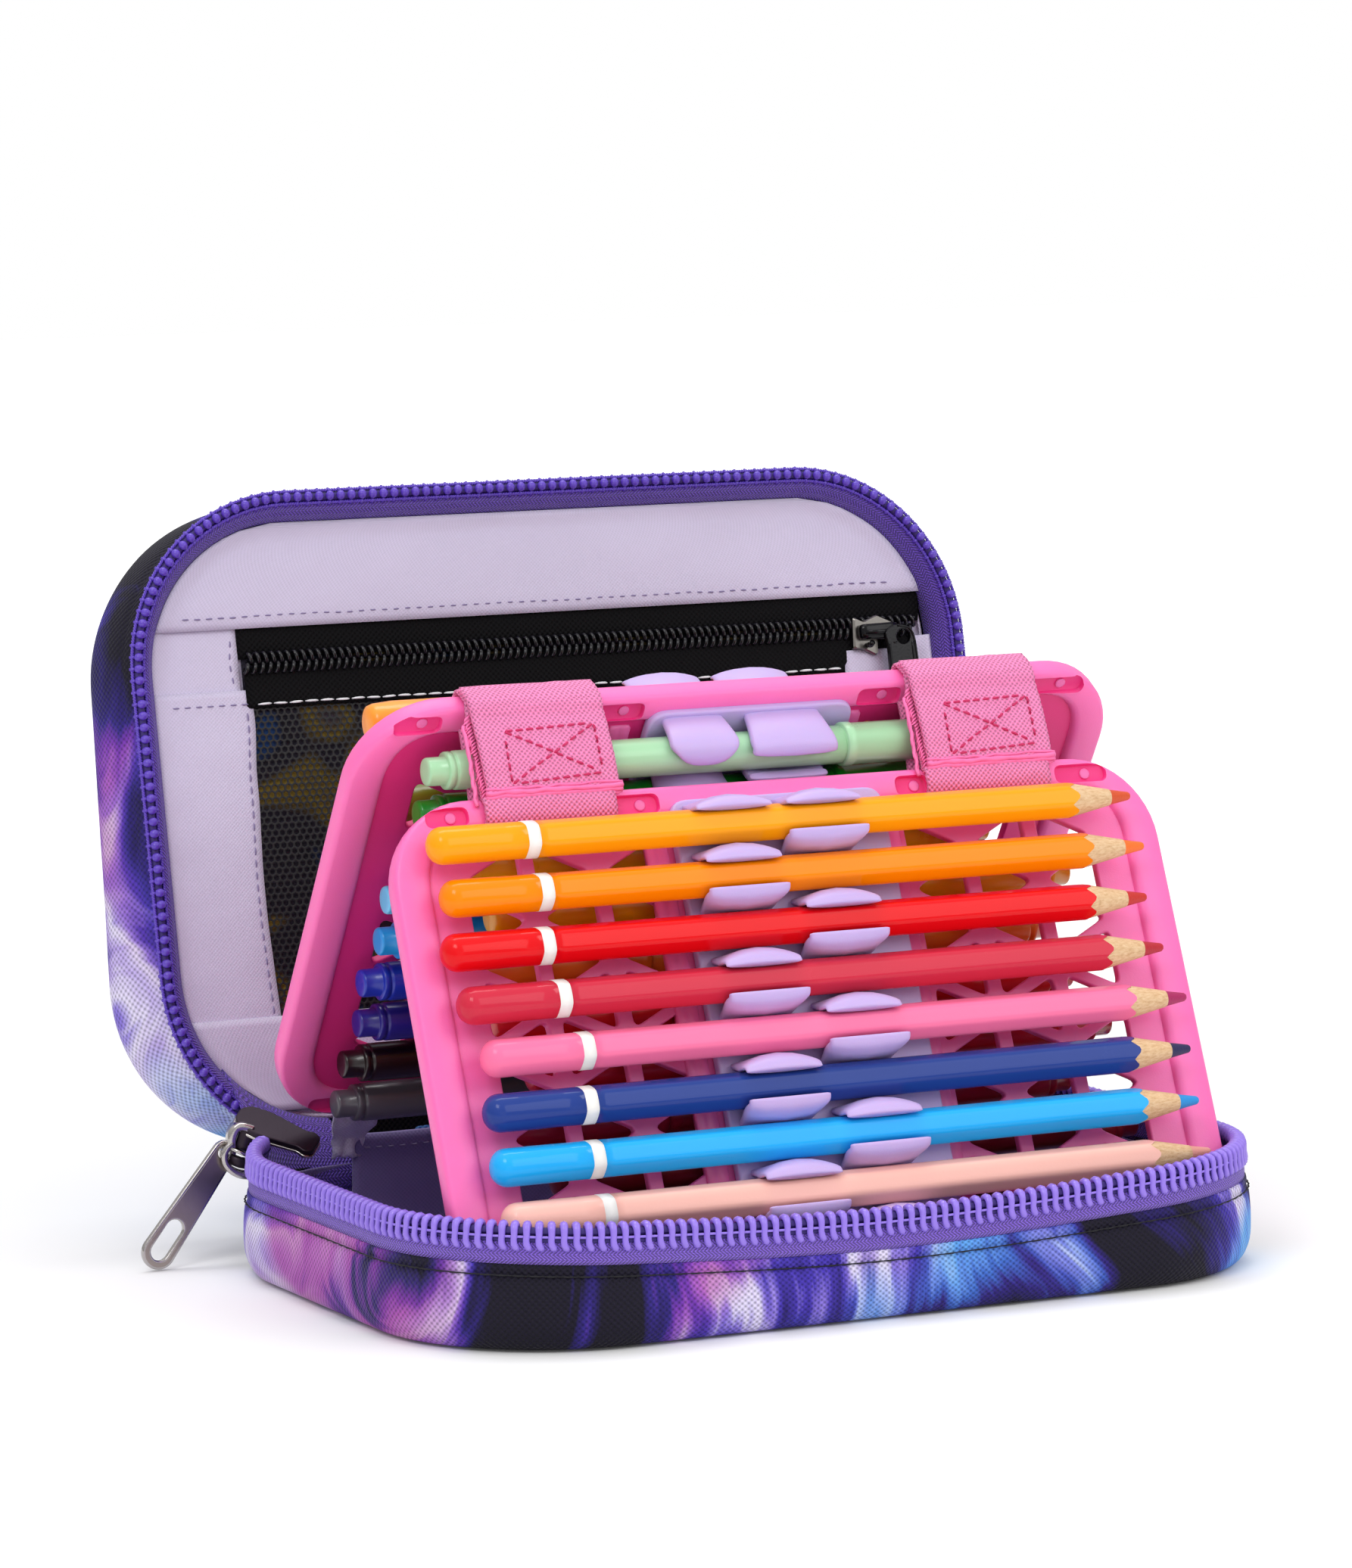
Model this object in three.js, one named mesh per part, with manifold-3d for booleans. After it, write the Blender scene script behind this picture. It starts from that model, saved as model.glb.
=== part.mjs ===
// A zipped pencil case standing open: a low fabric tray in front, a lid leaning
// back behind it, and two plastic pages in the middle that form an A-frame and
// carry pencils and felt pens in rubber grips. Lengths are in millimetres.
// X runs along the case, Y from the front to the lid, Z up from the underside.

import * as THREE from "three";
import { mergeVertices } from "three/addons/utils/BufferGeometryUtils.js";
import Module from "manifold-3d";

const wasm = await Module();
wasm.setup();

// Clearances
const gap = 0.3; // between pieces that touch
const cutOverrun = 1; // how far a cutting tool passes its workpiece

// Case
const caseWidth = 215.3;
const caseDepth = 151.8;
const caseCornerRadius = 44;
const fabricThickness = 2.2;
const floorThickness = 1;
const liningThickness = 0.6;
const trayHeight = 19.6; // top of the fabric wall
const trayEdgeRound = 7;
const frontSag = 4; // the front edge hangs this much in the middle
const chainRise = 2; // the zip climbs this much towards the slider
const lidWidth = 219;
const lidLength = 154.4;
const lidCornerRadius = 42;
const lidDepth = 28; // from the zip's plane to the back
const lidEdgeRound = 12;
const lidLean = 11; // degrees back from vertical
const lidFootInset = 2.9; // in front of the case's rear
const lidFootY = caseDepth / 2 - lidFootInset;
const lidFootZ = 23.8;

// Main zip
const tapeHeight = 5.7;
const tapeThickness = 1;
const tapeLean = 1;
const coilRadius = 1.7;
const lidTapeReach = 5;
const spineWidth = 124;
const spineThickness = 2.6;
const spineRise = 2; // past the foot of the lid

// Pages
const pageSideClearance = 11.75; // from the case's end
const pageWidth = caseWidth - 2 * pageSideClearance;
const pageLength = 118.5;
const pageCornerRadius = 20.2;
const pageRimWidth = 7;
const pageRimThickness = 5.2;
const webThickness = 2.2;
const ribWidth = 3.6;
const ribPitch = 17;
const ribMargin = 12; // solid margin between the window and the page's edge
const apexY = -11.9; // middle of the two pages' top edges
const apexSpread = 7.63; // between those edges, along Y
const frontPageInset = 15.6; // from the case's front to the page's foot
const frontPageFootY = -caseDepth / 2 + frontPageInset;
const frontPageFootZ = 3.7;
const rearPageInset = 19.8;
const rearPageFootY = caseDepth / 2 - rearPageInset;
const rearPageFootZ = 34.3;

// Pencil row, counted down from the top
const rowPitch = 12.08;
const rowTop = 106.7; // height of the first pencil above the page's lower edge
const gripWidth = 51.5;
const middleShift = -2.4; // the grips and straps sit a little left of the middle
const gripThickness = 2.6;
const gripGapCount = 9;
const backBareGaps = 2; // the front page's back has no petals in its top gaps
const petalWidth = 16.5;
const petalSpacing = 22; // between the two columns
const petalThickness = 1.5;
const petalReach = 4.2;

// Pencils
const pencilEndMargin = 7.9; // from a full pencil's end to the page's edge
const pencilLength = pageWidth - 2 * pencilEndMargin;
const pencilRadius = 4.4; // across the corners
const pencilWoodLength = 15.5;
const pencilLeadLength = 5.5;
const pencilLeadRadius = 1.9;
const pencilTipRadius = 0.9;
const pencilDomeLength = 3.2;
const pencilLift = 7.46; // axis above the page's web

// Felt pens
const penLength = 146;
const penRadius = 4.4;
const penCapRadius = 5.1;
const penCapLength = 43;
const penPlugRadius = 3.1;
const penPlugLength = 4.5;
const penCollarRadius = 4;
const penCollarLength = 2.6;
const penLift = 8.05;

// Straps over the pages' top bars
const strapWidth = 32;
const strapThickness = 1.4;
const strapSpacing = 110;
const slotHeight = 2.4;
const slotWidth = 35;
const slotDrop = 5.1; // from the page's edge to the slot
const strapSlack = 0.4;

// Tabs that tie the rear page to the tray
const tabWidth = 15;
const tabThickness = 1.2;
const tabInset = 38.65; // from the case's end to a tab's middle
const tabSpacing = caseWidth - 2 * tabInset;
const tabFootInset = 11.9;
const tabFootY = caseDepth / 2 - tabFootInset;
const tabFootZ = 6;

// Lid pocket
const pocketDepth = 10; // lining face behind the zip's plane
const liningMargin = 6.4;
const liningRise = 5;
const liningEdgeRound = 5;
const facingThickness = 0.8;
const facingMargin = 11.8;
const facingCornerRadius = 26;
const netWidth = 158;
const netHeight = 75.5;
const netFoot = 30;
const netThickness = 0.8;
const netColumns = 16;
const netRows = 9;
const netStrand = 1.5;
const netBorder = 3;
const pocketTapeHeight = 16;
const pocketTapeOverhang = 13;
const pocketCoilWidth = 5.4;
const pocketCoilThickness = 2.4;
const pocketSliderLength = 13;
const pocketSliderWidth = 8.6;
const pocketSliderPlate = 1.1;
const pocketSliderInset = 7;
const pocketPullerLength = 24;
const pocketPullerWidth = 5;
const pocketPullerThickness = 1.4;

// Main slider and its puller
const sliderLength = 20;
const sliderWidth = 9.6;
const sliderPlate = 1.3;
const sliderBridgeDrop = 7;
const sliderBridgeLength = 2.8;
const sliderBarRadius = 0.9;
const sliderArmThickness = 1.1;
const sliderArmSpacing = 3.2;
const sliderTurn = 15; // degrees off the X axis, towards the front
const sliderDip = 15.7; // degrees, the inner end is lower
const pullerReach = 31.5; // pivot to the far end
const pullerEndRadius = 4.1;
const pullerNeckRadius = 2.9;
const pullerThickness = 1.5;
const pullerEyeRadius = 1.6;
const pullerRingLength = 10.5;
const pullerRingWidth = 4.4;

const cornerSteps = 6;
const sideSteps = 6;
const penSides = 8;
const pencilSides = 6;
const coilSides = 6;

// Fabric wall from its foot to its top: share of the edge's rounding that the
// wall stands in by, and share of the height.
const wallShares = [
  [1, 0],
  [0.36, 0.05],
  [0.06, 0.24],
  [0, 0.5],
  [0.04, 0.82],
  [0.12, 1],
];

const toRadians = THREE.MathUtils.degToRad;
const model = new THREE.Group();

// Degrees that each page leans, so that the two top edges meet at the straps
const leanTo = (footY, topY) => THREE.MathUtils.radToDeg(Math.asin((topY - footY) / pageLength));
const frontPageTilt = leanTo(frontPageFootY, apexY - apexSpread / 2); // top leaning back
const rearPageTilt = -leanTo(rearPageFootY, apexY + apexSpread / 2); // top leaning forward

// Geometry helpers

// Turns a list of corner triples into a closed body whose faces point out.
function bodyFrom(points, faces) {
  let volume = 0;
  for (const [a, b, c] of faces)
    volume += points[a].dot(new THREE.Vector3().crossVectors(points[b], points[c]));
  const position = [];
  for (const [a, b, c] of faces)
    for (const k of volume < 0 ? [a, c, b] : [a, b, c])
      position.push(points[k].x, points[k].y, points[k].z);
  const geometry = new THREE.BufferGeometry();
  geometry.setAttribute("position", new THREE.Float32BufferAttribute(position, 3));
  return geometry;
}

// Skins rings of equally many points, with a fan over each end.
function loft(rings) {
  const count = rings[0].length;
  const points = rings.flat();
  const faces = [];
  for (let r = 0; r + 1 < rings.length; r++)
    for (let k = 0; k < count; k++) {
      const next = (k + 1) % count;
      const [a, b] = [r * count + k, r * count + next];
      const [c, d] = [a + count, b + count];
      faces.push([a, b, d], [a, d, c]);
    }
  for (const [start, flip] of [[0, true], [points.length - count, false]]) {
    const centre = new THREE.Vector3();
    for (let k = 0; k < count; k++) centre.add(points[start + k]);
    points.push(centre.divideScalar(count));
    for (let k = 0; k < count; k++) {
      const [a, b] = [start + k, start + ((k + 1) % count)];
      faces.push(flip ? [b, a, points.length - 1] : [a, b, points.length - 1]);
    }
  }
  return bodyFrom(points, faces);
}

// A rounded rectangle's points with outward normals, anticlockwise between two
// angles, with extra points along the two long sides.
function outline(width, depth, radius, fromDegrees = 0, toDegrees = 360) {
  const step = 90 / cornerSteps;
  const points = [];
  for (let angle = fromDegrees; angle <= toDegrees; angle += step) {
    const quarters = angle % 90 === 0 && angle > fromDegrees ? [angle - step / 2, angle + step / 2] : [angle + step / 2];
    if (quarters.length > 1 && angle === toDegrees) quarters.pop();
    const ends = quarters.map((inside) => {
      const sideX = Math.cos(toRadians(Math.floor(inside / 90) * 90 + 45)) > 0 ? 1 : -1;
      const sideY = Math.sin(toRadians(Math.floor(inside / 90) * 90 + 45)) > 0 ? 1 : -1;
      const nx = Math.cos(toRadians(angle));
      const ny = Math.sin(toRadians(angle));
      return {
        x: sideX * (width / 2 - radius) + nx * radius,
        y: sideY * (depth / 2 - radius) + ny * radius,
        nx,
        ny,
      };
    });
    const alongX = ends.length > 1 && Math.abs(ends[1].x - ends[0].x) > Math.abs(ends[1].y - ends[0].y);
    points.push(ends[0]);
    for (let k = 1; alongX && k < sideSteps; k++)
      points.push({ ...ends[0], x: THREE.MathUtils.lerp(ends[0].x, ends[1].x, k / sideSteps) });
    if (ends.length > 1) points.push(ends[1]);
  }
  if (toDegrees - fromDegrees === 360) points.pop();
  return points;
}

// An open dish with a rounded foot: outer skin up, inner skin down.
function dish({ width, depth, radius, foot, top, edgeRound, thickness, floor = thickness }) {
  const ring = (inset, height) =>
    outline(width, depth, radius).map(({ x, y, nx, ny }) => {
      const reach = Math.min(inset, radius);
      return new THREE.Vector3(x - nx * reach, y - ny * reach, height(x, y));
    });
  const outer = wallShares.map(([inset, rise]) =>
    ring(inset * edgeRound, (x, y) => foot + rise * (top(x, y) - foot)),
  );
  const inner = wallShares
    .map(([inset, rise]) =>
      ring(inset * edgeRound + thickness, (x, y) => foot + floor + rise * (top(x, y) - foot - floor)),
    )
    .reverse();
  return loft([...outer, ...inner]);
}

// Sweeps a section of [outward, upward] pairs along an open outline.
function band(path, section) {
  return loft(
    path.map(({ x, y, nx, ny, z = 0 }) =>
      section.map(([out, up]) => new THREE.Vector3(x + nx * out, y + ny * out, z + up)),
    ),
  );
}

// The corners of a round or oval section.
function ovalSection(halfWidth, halfHeight, centreOut, centreUp, sides) {
  return Array.from({ length: sides }, (_, k) => {
    const angle = ((k + 0.5) * 2 * Math.PI) / sides;
    return [centreOut + halfWidth * Math.cos(angle), centreUp + halfHeight * Math.sin(angle)];
  });
}

function positionsOnly(geometry) {
  const plain = geometry.clone();
  for (const name of Object.keys(plain.attributes)) if (name !== "position") plain.deleteAttribute(name);
  return mergeVertices(plain);
}

function solidOf(geometry) {
  const plain = positionsOnly(geometry);
  return new wasm.Manifold(
    new wasm.Mesh({
      numProp: 3,
      vertProperties: new Float32Array(plain.attributes.position.array),
      triVerts: new Uint32Array(plain.index.array),
    }),
  );
}

function geometryOf(solid) {
  const mesh = solid.getMesh();
  const geometry = new THREE.BufferGeometry();
  geometry.setAttribute("position", new THREE.Float32BufferAttribute(mesh.vertProperties, 3));
  geometry.setIndex(new THREE.Uint32BufferAttribute(mesh.triVerts, 1));
  return geometry.toNonIndexed();
}

function join(geometries, cuts = []) {
  let solid = solidOf(geometries[0]);
  for (const geometry of geometries.slice(1)) solid = solid.add(solidOf(geometry));
  for (const geometry of cuts) solid = solid.subtract(solidOf(geometry));
  return geometryOf(solid);
}

function box(width, depth, height, x, y, z) {
  return new THREE.BoxGeometry(width, depth, height).translate(x, y, z);
}

function shapeOf(points) {
  return new THREE.Shape(points.map(([x, y]) => new THREE.Vector2(x, y)));
}

// A flat plate of an outline with holes, from height `low` up.
function plate(points, holes, thickness, low = 0) {
  const shape = shapeOf(points);
  shape.holes = holes.map((hole) => shapeOf(hole));
  return new THREE.ExtrudeGeometry(shape, { depth: thickness, bevelEnabled: false }).translate(0, 0, low);
}

function rectangle(x0, y0, x1, y1) {
  return [
    [x0, y0],
    [x1, y0],
    [x1, y1],
    [x0, y1],
  ];
}

function flat(points) {
  return points.map(({ x, y }) => [x, y]);
}

function addPiece(parent, name, geometry, color, roughness = 0.6, metalness = 0) {
  const material = new THREE.MeshStandardMaterial({ color, roughness, metalness });
  const mesh = new THREE.Mesh(geometry, material);
  mesh.name = name;
  geometry.computeVertexNormals();
  parent.add(mesh);
  return mesh;
}

// Case

const smooth = (t) => THREE.MathUtils.smoothstep(t, 0, 1);
const sagAt = (x, y) => frontSag * Math.cos((Math.PI * x) / caseWidth) ** 2 * smooth((-2 * y) / caseDepth);
const riseAt = (y) => chainRise * smooth((4 * y) / caseDepth - 1);
const trayTop = (x, y) => trayHeight - sagAt(x, y);

addPiece(
  model,
  "tray_shell",
  dish({
    width: caseWidth,
    depth: caseDepth,
    radius: caseCornerRadius,
    foot: 0,
    top: trayTop,
    edgeRound: trayEdgeRound,
    thickness: fabricThickness,
    floor: floorThickness,
  }),
  0x4a2f8f,
  0.85,
);
const liningInset = fabricThickness + gap;
addPiece(
  model,
  "tray_lining",
  dish({
    width: caseWidth - 2 * liningInset,
    depth: caseDepth - 2 * liningInset,
    radius: caseCornerRadius - liningInset,
    foot: floorThickness + gap,
    top: (x, y) => trayTop(x, y) - gap,
    edgeRound: trayEdgeRound,
    thickness: liningThickness,
  }),
  0xcfc5e3,
  0.7,
);

// The zip stands on the tray's wall from one rear corner round to the other.
const chainPath = outline(caseWidth, caseDepth, caseCornerRadius, 135, 405);
const tapeOut = -trayEdgeRound * wallShares[5][0] - gap;
const tapeTopAt = (x, y) => trayTop(x, y) + gap + tapeHeight + riseAt(y);
addPiece(
  model,
  "tray_zip_tape",
  loft(
    chainPath.map(({ x, y, nx, ny }) => {
      const foot = trayTop(x, y) + gap;
      return [
        [0, foot],
        [-tapeLean, tapeTopAt(x, y)],
        [-tapeLean - tapeThickness, tapeTopAt(x, y)],
        [-tapeThickness, foot],
      ].map(([out, up]) => new THREE.Vector3(x + nx * (tapeOut + out), y + ny * (tapeOut + out), up));
    }),
  ),
  0x6a45c4,
  0.75,
);
const coilOut = tapeOut - tapeLean - tapeThickness / 2;
const coilAt = (x, y) => tapeTopAt(x, y) + gap + coilRadius;
addPiece(
  model,
  "tray_zip_coil",
  band(
    chainPath.map((point) => ({ ...point, z: coilAt(point.x, point.y) })),
    ovalSection(coilRadius, coilRadius, coilOut, 0, coilSides),
  ),
  0x5b3fa8,
  0.35,
);

// Lid: its own group lies in the zip's plane, x along, y up the lid, z forward.
const lid = new THREE.Group();
lid.rotation.x = toRadians(90 - lidLean);
lid.position.set(0, lidFootY, lidFootZ);
model.add(lid);
const lidMiddle = new THREE.Group();
lidMiddle.position.y = lidLength / 2;
lid.add(lidMiddle);

const coilThickness = 2 * coilRadius;
const lidWallTop = -coilThickness - gap;
addPiece(
  lidMiddle,
  "lid_shell",
  dish({
    width: lidWidth,
    depth: lidLength,
    radius: lidCornerRadius,
    foot: -lidDepth,
    top: () => lidWallTop,
    edgeRound: lidEdgeRound,
    thickness: fabricThickness,
  }),
  0x4a2f8f,
  0.85,
);
const lidChainPath = outline(lidWidth, lidLength, lidCornerRadius, -45, 225);
addPiece(
  lidMiddle,
  "lid_zip_coil",
  band(lidChainPath, ovalSection(coilRadius, coilRadius, -coilRadius, -coilRadius, coilSides)),
  0x5b3fa8,
  0.35,
);
const lidWallInset = lidEdgeRound * wallShares[5][0] + fabricThickness;
const lidTapeOut = -coilThickness - gap;
addPiece(
  lidMiddle,
  "lid_zip_tape",
  band(lidChainPath, [
    [lidTapeOut, -coilRadius],
    [lidTapeOut, -coilRadius - tapeThickness],
    [lidTapeOut - lidTapeReach + liningEdgeRound * wallShares[5][0], -pocketDepth + liningRise + gap],
    [lidTapeOut - lidTapeReach + liningEdgeRound * wallShares[5][0], -pocketDepth + liningRise + gap + tapeThickness],
  ]),
  0x6a45c4,
  0.75,
);
addPiece(
  lidMiddle,
  "lid_lining",
  dish({
    width: lidWidth - 2 * liningMargin,
    depth: lidLength - 2 * liningMargin,
    radius: lidCornerRadius - liningMargin,
    foot: -pocketDepth - liningThickness,
    top: () => -pocketDepth + liningRise,
    edgeRound: liningEdgeRound,
    thickness: liningThickness,
  }),
  0xcfc5e3,
  0.7,
);

// Pocket on the lid's lining
const facingLow = -pocketDepth + gap;
const netX0 = -netWidth / 2;
const netX1 = netWidth / 2;
const netTop = netFoot + netHeight;
const pocketTapeX0 = netX0;
const pocketTapeX1 = netX1 + pocketTapeOverhang;
const pocketTapeFoot = netTop + gap;
const pocketTapeTop = pocketTapeFoot + pocketTapeHeight;
addPiece(
  lidMiddle,
  "pocket_facing",
  plate(
    flat(
      outline(
        lidWidth - 2 * facingMargin,
        lidLength - 2 * facingMargin,
        facingCornerRadius,
      ),
    ),
    [
      [
        [netX0 - gap, netFoot - gap],
        [netX1 + gap, netFoot - gap],
        [netX1 + gap, pocketTapeFoot - gap],
        [pocketTapeX1 + gap, pocketTapeFoot - gap],
        [pocketTapeX1 + gap, pocketTapeTop + gap],
        [pocketTapeX0 - gap, pocketTapeTop + gap],
      ].map(([x, y]) => [x, y - lidLength / 2]),
    ],
    facingThickness,
    facingLow,
  ),
  0xd6cbe8,
  0.7,
);

// A net of diamond gaps inside a plain border
const cellWidth = (netWidth - 2 * netBorder) / netColumns;
const cellHeight = (netHeight - 2 * netBorder) / netRows;
const netHoles = [];
for (let column = 0; column < netColumns; column++)
  for (let row = 0; row < netRows; row++) {
    const x = netX0 + netBorder + (column + 0.5) * cellWidth;
    const y = netFoot + netBorder + (row + 0.5) * cellHeight;
    const [halfX, halfY] = [(cellWidth - netStrand) / 2, (cellHeight - netStrand) / 2];
    netHoles.push([
      [x - halfX, y],
      [x, y - halfY],
      [x + halfX, y],
      [x, y + halfY],
    ]);
  }
addPiece(
  lid,
  "pocket_mesh",
  plate(rectangle(netX0, netFoot, netX1, netTop), netHoles, netThickness, facingLow),
  0x17151c,
  0.8,
);
addPiece(
  lid,
  "pocket_zip_tape",
  plate(
    rectangle(pocketTapeX0, pocketTapeFoot, pocketTapeX1, pocketTapeTop),
    [],
    facingThickness,
    facingLow,
  ),
  0x141318,
  0.8,
);
const pocketCoilY = (pocketTapeFoot + pocketTapeTop) / 2;
const pocketCoilLow = facingLow + facingThickness + gap;
addPiece(
  lid,
  "pocket_zip_coil",
  loft(
    [pocketTapeX0, pocketTapeX1].map((x) =>
      ovalSection(pocketCoilWidth / 2, pocketCoilThickness / 2, pocketCoilY, pocketCoilLow + pocketCoilThickness / 2, coilSides).map(
        ([y, z]) => new THREE.Vector3(x, y, z),
      ),
    ),
  ),
  0x1b1a20,
  0.4,
);

// The pocket's slider is a channel over its coil, with an eye on top.
const pocketSliderX = pocketTapeX1 - pocketSliderInset;
const channelTop = pocketCoilLow + pocketCoilThickness + gap;
const flange = (pocketSliderWidth - pocketCoilWidth) / 2 - gap;
const eyeHeight = 2 * pocketPullerThickness;
const pocketEyeY = pocketCoilY - pocketSliderWidth / 2 + pocketPullerThickness;
addPiece(
  lid,
  "pocket_slider",
  join([
    box(pocketSliderLength, pocketSliderWidth, pocketSliderPlate, pocketSliderX, pocketCoilY, channelTop + pocketSliderPlate / 2),
    ...[-1, 1].map((side) =>
      box(
        pocketSliderLength,
        flange,
        pocketCoilThickness + pocketSliderPlate,
        pocketSliderX,
        pocketCoilY + (side * (pocketSliderWidth - flange)) / 2,
        channelTop - (pocketCoilThickness - pocketSliderPlate) / 2,
      ),
    ),
    ...[-1, 1].map((side) =>
      box(
        pocketPullerThickness,
        2 * pocketPullerThickness,
        eyeHeight + pocketSliderPlate,
        pocketSliderX + side * (pocketPullerWidth / 2 + gap + pocketPullerThickness / 2),
        pocketEyeY,
        channelTop + (eyeHeight + pocketSliderPlate) / 2,
      ),
    ),
  ]),
  0x16151a,
  0.35,
  0.4,
);
// The puller hangs from a barrel that turns between the two ears.
const pocketBarrelZ = channelTop + pocketSliderPlate + gap + pocketPullerThickness;
addPiece(
  lid,
  "pocket_puller",
  join([
    new THREE.CylinderGeometry(pocketPullerThickness / 2, pocketPullerThickness / 2, pocketPullerWidth, penSides)
      .rotateZ(Math.PI / 2)
      .translate(pocketSliderX, pocketEyeY, pocketBarrelZ),
    box(
      pocketPullerWidth,
      pocketPullerLength,
      pocketPullerThickness,
      pocketSliderX,
      pocketEyeY - pocketPullerLength / 2,
      pocketBarrelZ,
    ),
  ]),
  0x1a191e,
  0.35,
  0.4,
);

// Spine: the fabric between the tray's rear wall and the lid's lower edge
const spineFoot = trayHeight + gap;
const spineTop = lidFootZ + spineRise;
addPiece(
  model,
  "spine_hinge",
  box(
    spineWidth,
    spineThickness,
    spineTop - spineFoot,
    0,
    caseDepth / 2 - fabricThickness + spineThickness / 2,
    (spineTop + spineFoot) / 2,
  ),
  0x3f2a7c,
  0.85,
);

// Main slider: it rides at the corner where the two halves of the zip meet.
const sliderAngle = 135;
const [sliderStart] = outline(caseWidth, caseDepth, caseCornerRadius, sliderAngle, sliderAngle + 90);
const sliderX = sliderStart.x + sliderStart.nx * coilOut;
const sliderY = sliderStart.y + sliderStart.ny * coilOut;
const sliderZ = coilAt(sliderStart.x, sliderStart.y) + coilRadius + 2 * gap;
const slider = new THREE.Group();
slider.position.set(sliderX, sliderY, sliderZ);
slider.rotation.set(0, toRadians(sliderDip), toRadians(-sliderTurn), "ZYX");
model.add(slider);
const shieldShares = [
  [-0.5, 0.2],
  [-0.5, -0.2],
  [-0.4, -0.44],
  [-0.15, -0.5],
  [0.2, -0.38],
  [0.32, -0.34],
  [0.4, -0.42],
  [0.5, -0.3],
  [0.5, 0.3],
  [0.4, 0.42],
  [0.32, 0.34],
  [0.2, 0.38],
  [-0.15, 0.5],
  [-0.4, 0.44],
];
const bridgeX = -sliderLength / 2 + sliderBridgeLength / 2;
const barZ = -sliderBridgeDrop - sliderBarRadius;
addPiece(
  slider,
  "zip_slider",
  join([
    plate(
      shieldShares.map(([along, across]) => [along * sliderLength, across * sliderWidth]),
      [],
      sliderPlate,
    ),
    box(sliderBridgeLength, sliderArmSpacing + 2 * sliderArmThickness, sliderBridgeDrop / 2 + sliderPlate / 2, bridgeX, 0, -sliderBridgeDrop / 4 + sliderPlate / 4),
    ...[-1, 1].map((side) =>
      box(
        sliderBridgeLength,
        sliderArmThickness,
        sliderBridgeDrop + 2 * sliderBarRadius,
        bridgeX,
        (side * (sliderArmSpacing + sliderArmThickness)) / 2,
        (barZ - sliderBarRadius) / 2,
      ),
    ),
    new THREE.CylinderGeometry(sliderBarRadius, sliderBarRadius, sliderArmSpacing + sliderArmThickness, penSides).translate(bridgeX, 0, barZ),
  ]),
  0x55505c,
  0.3,
  1,
);

// The puller's eye turns on the slider's bar and its far end nearly rests on
// the table.
slider.updateMatrixWorld(true);
const pivot = new THREE.Vector3(bridgeX, 0, barZ).applyMatrix4(slider.matrixWorld);
const pullerFall = Math.asin((pivot.z - pullerEndRadius - gap) / (pullerReach - pullerEndRadius));
const puller = new THREE.Group();
puller.position.copy(pivot);
puller.rotation.y = Math.PI - pullerFall;
model.add(puller);
const pullerEndX = pullerReach - pullerEndRadius;
const arcPoints = (radius, x, from, to, steps) =>
  Array.from({ length: steps + 1 }, (_, k) => {
    const angle = toRadians(from + ((to - from) * k) / steps);
    return [x + radius * Math.cos(angle), radius * Math.sin(angle)];
  });
const ringHalf = pullerRingWidth / 2;
const ringEndX = pullerReach - (pullerEndRadius - ringHalf) - ringHalf;
addPiece(
  puller,
  "zip_puller",
  plate(
    [...arcPoints(pullerEndRadius, pullerEndX, -90, 90, cornerSteps), ...arcPoints(pullerNeckRadius, 0, 90, 270, cornerSteps)],
    [
      arcPoints(pullerEyeRadius, 0, 0, 315, penSides - 1),
      [
        ...arcPoints(ringHalf, ringEndX, -90, 90, cornerSteps - 2),
        ...arcPoints(ringHalf, ringEndX - pullerRingLength + pullerRingWidth, 90, 270, cornerSteps - 2),
      ],
    ],
    pullerThickness,
    -pullerThickness / 2,
  ).rotateX(Math.PI / 2),
  0x4b4650,
  0.3,
  1,
);

// Pages

// A page's group: x along the case, y up the page, z out of the side that the
// reader of that page sees. The web's face is z = 0.
function pageGroup(footY, footZ, turn) {
  const group = new THREE.Group();
  group.position.set(0, footY, footZ);
  group.rotation.x = toRadians(turn);
  model.add(group);
  const back = new THREE.Group();
  back.rotation.y = Math.PI;
  back.position.z = -webThickness;
  group.add(back);
  return { front: group, back };
}

const rimLow = -(pageRimThickness + webThickness) / 2;

// Triangular openings between upright ribs, on both sides of the grips
function trussHoles() {
  const side = (ribPitch * 2) / Math.sqrt(3);
  const inset = ribWidth / 2;
  const low = ribMargin;
  const high = pageLength - ribMargin - slotDrop;
  const holes = [];
  const inner = gripWidth / 2 + ribWidth;
  const columns = Math.floor((pageWidth / 2 - ribMargin - inner) / ribPitch);
  for (const mirror of [-1, 1])
    for (let column = 0; column < columns; column++)
      for (let half = 0; half * (side / 2) + side <= high - low + side / 2; half++) {
        const left = inner + column * ribPitch + inset;
        const right = left + ribPitch - 2 * inset;
        const middle = low + side / 2 + (half * side) / 2;
        const reach = side / 2 - inset * Math.sqrt(3);
        if (middle - reach < low || middle + reach > high) continue;
        const beside = Math.max(right - pageWidth / 2 + pageCornerRadius, 0);
        const beyond = Math.max(middle + reach - pageLength + pageCornerRadius, pageCornerRadius - middle + reach, 0);
        if (Math.hypot(beside, beyond) > pageCornerRadius - pageRimWidth) continue;
        const pointsOut = (half + column) % 2 === 0;
        const [base, tip] = pointsOut ? [left, right] : [right, left];
        holes.push([
          [mirror * base, middle - reach],
          [mirror * tip, middle],
          [mirror * base, middle + reach],
        ]);
      }
  return holes;
}

const pageOutline = outline(pageWidth, pageLength, pageCornerRadius).map(({ x, y, nx, ny }) => ({
  x,
  y: y + pageLength / 2,
  nx,
  ny,
}));
const insetOutline = (inset) => pageOutline.map(({ x, y, nx, ny }) => [x - nx * inset, y - ny * inset]);
const slotTop = pageLength - slotDrop;

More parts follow.
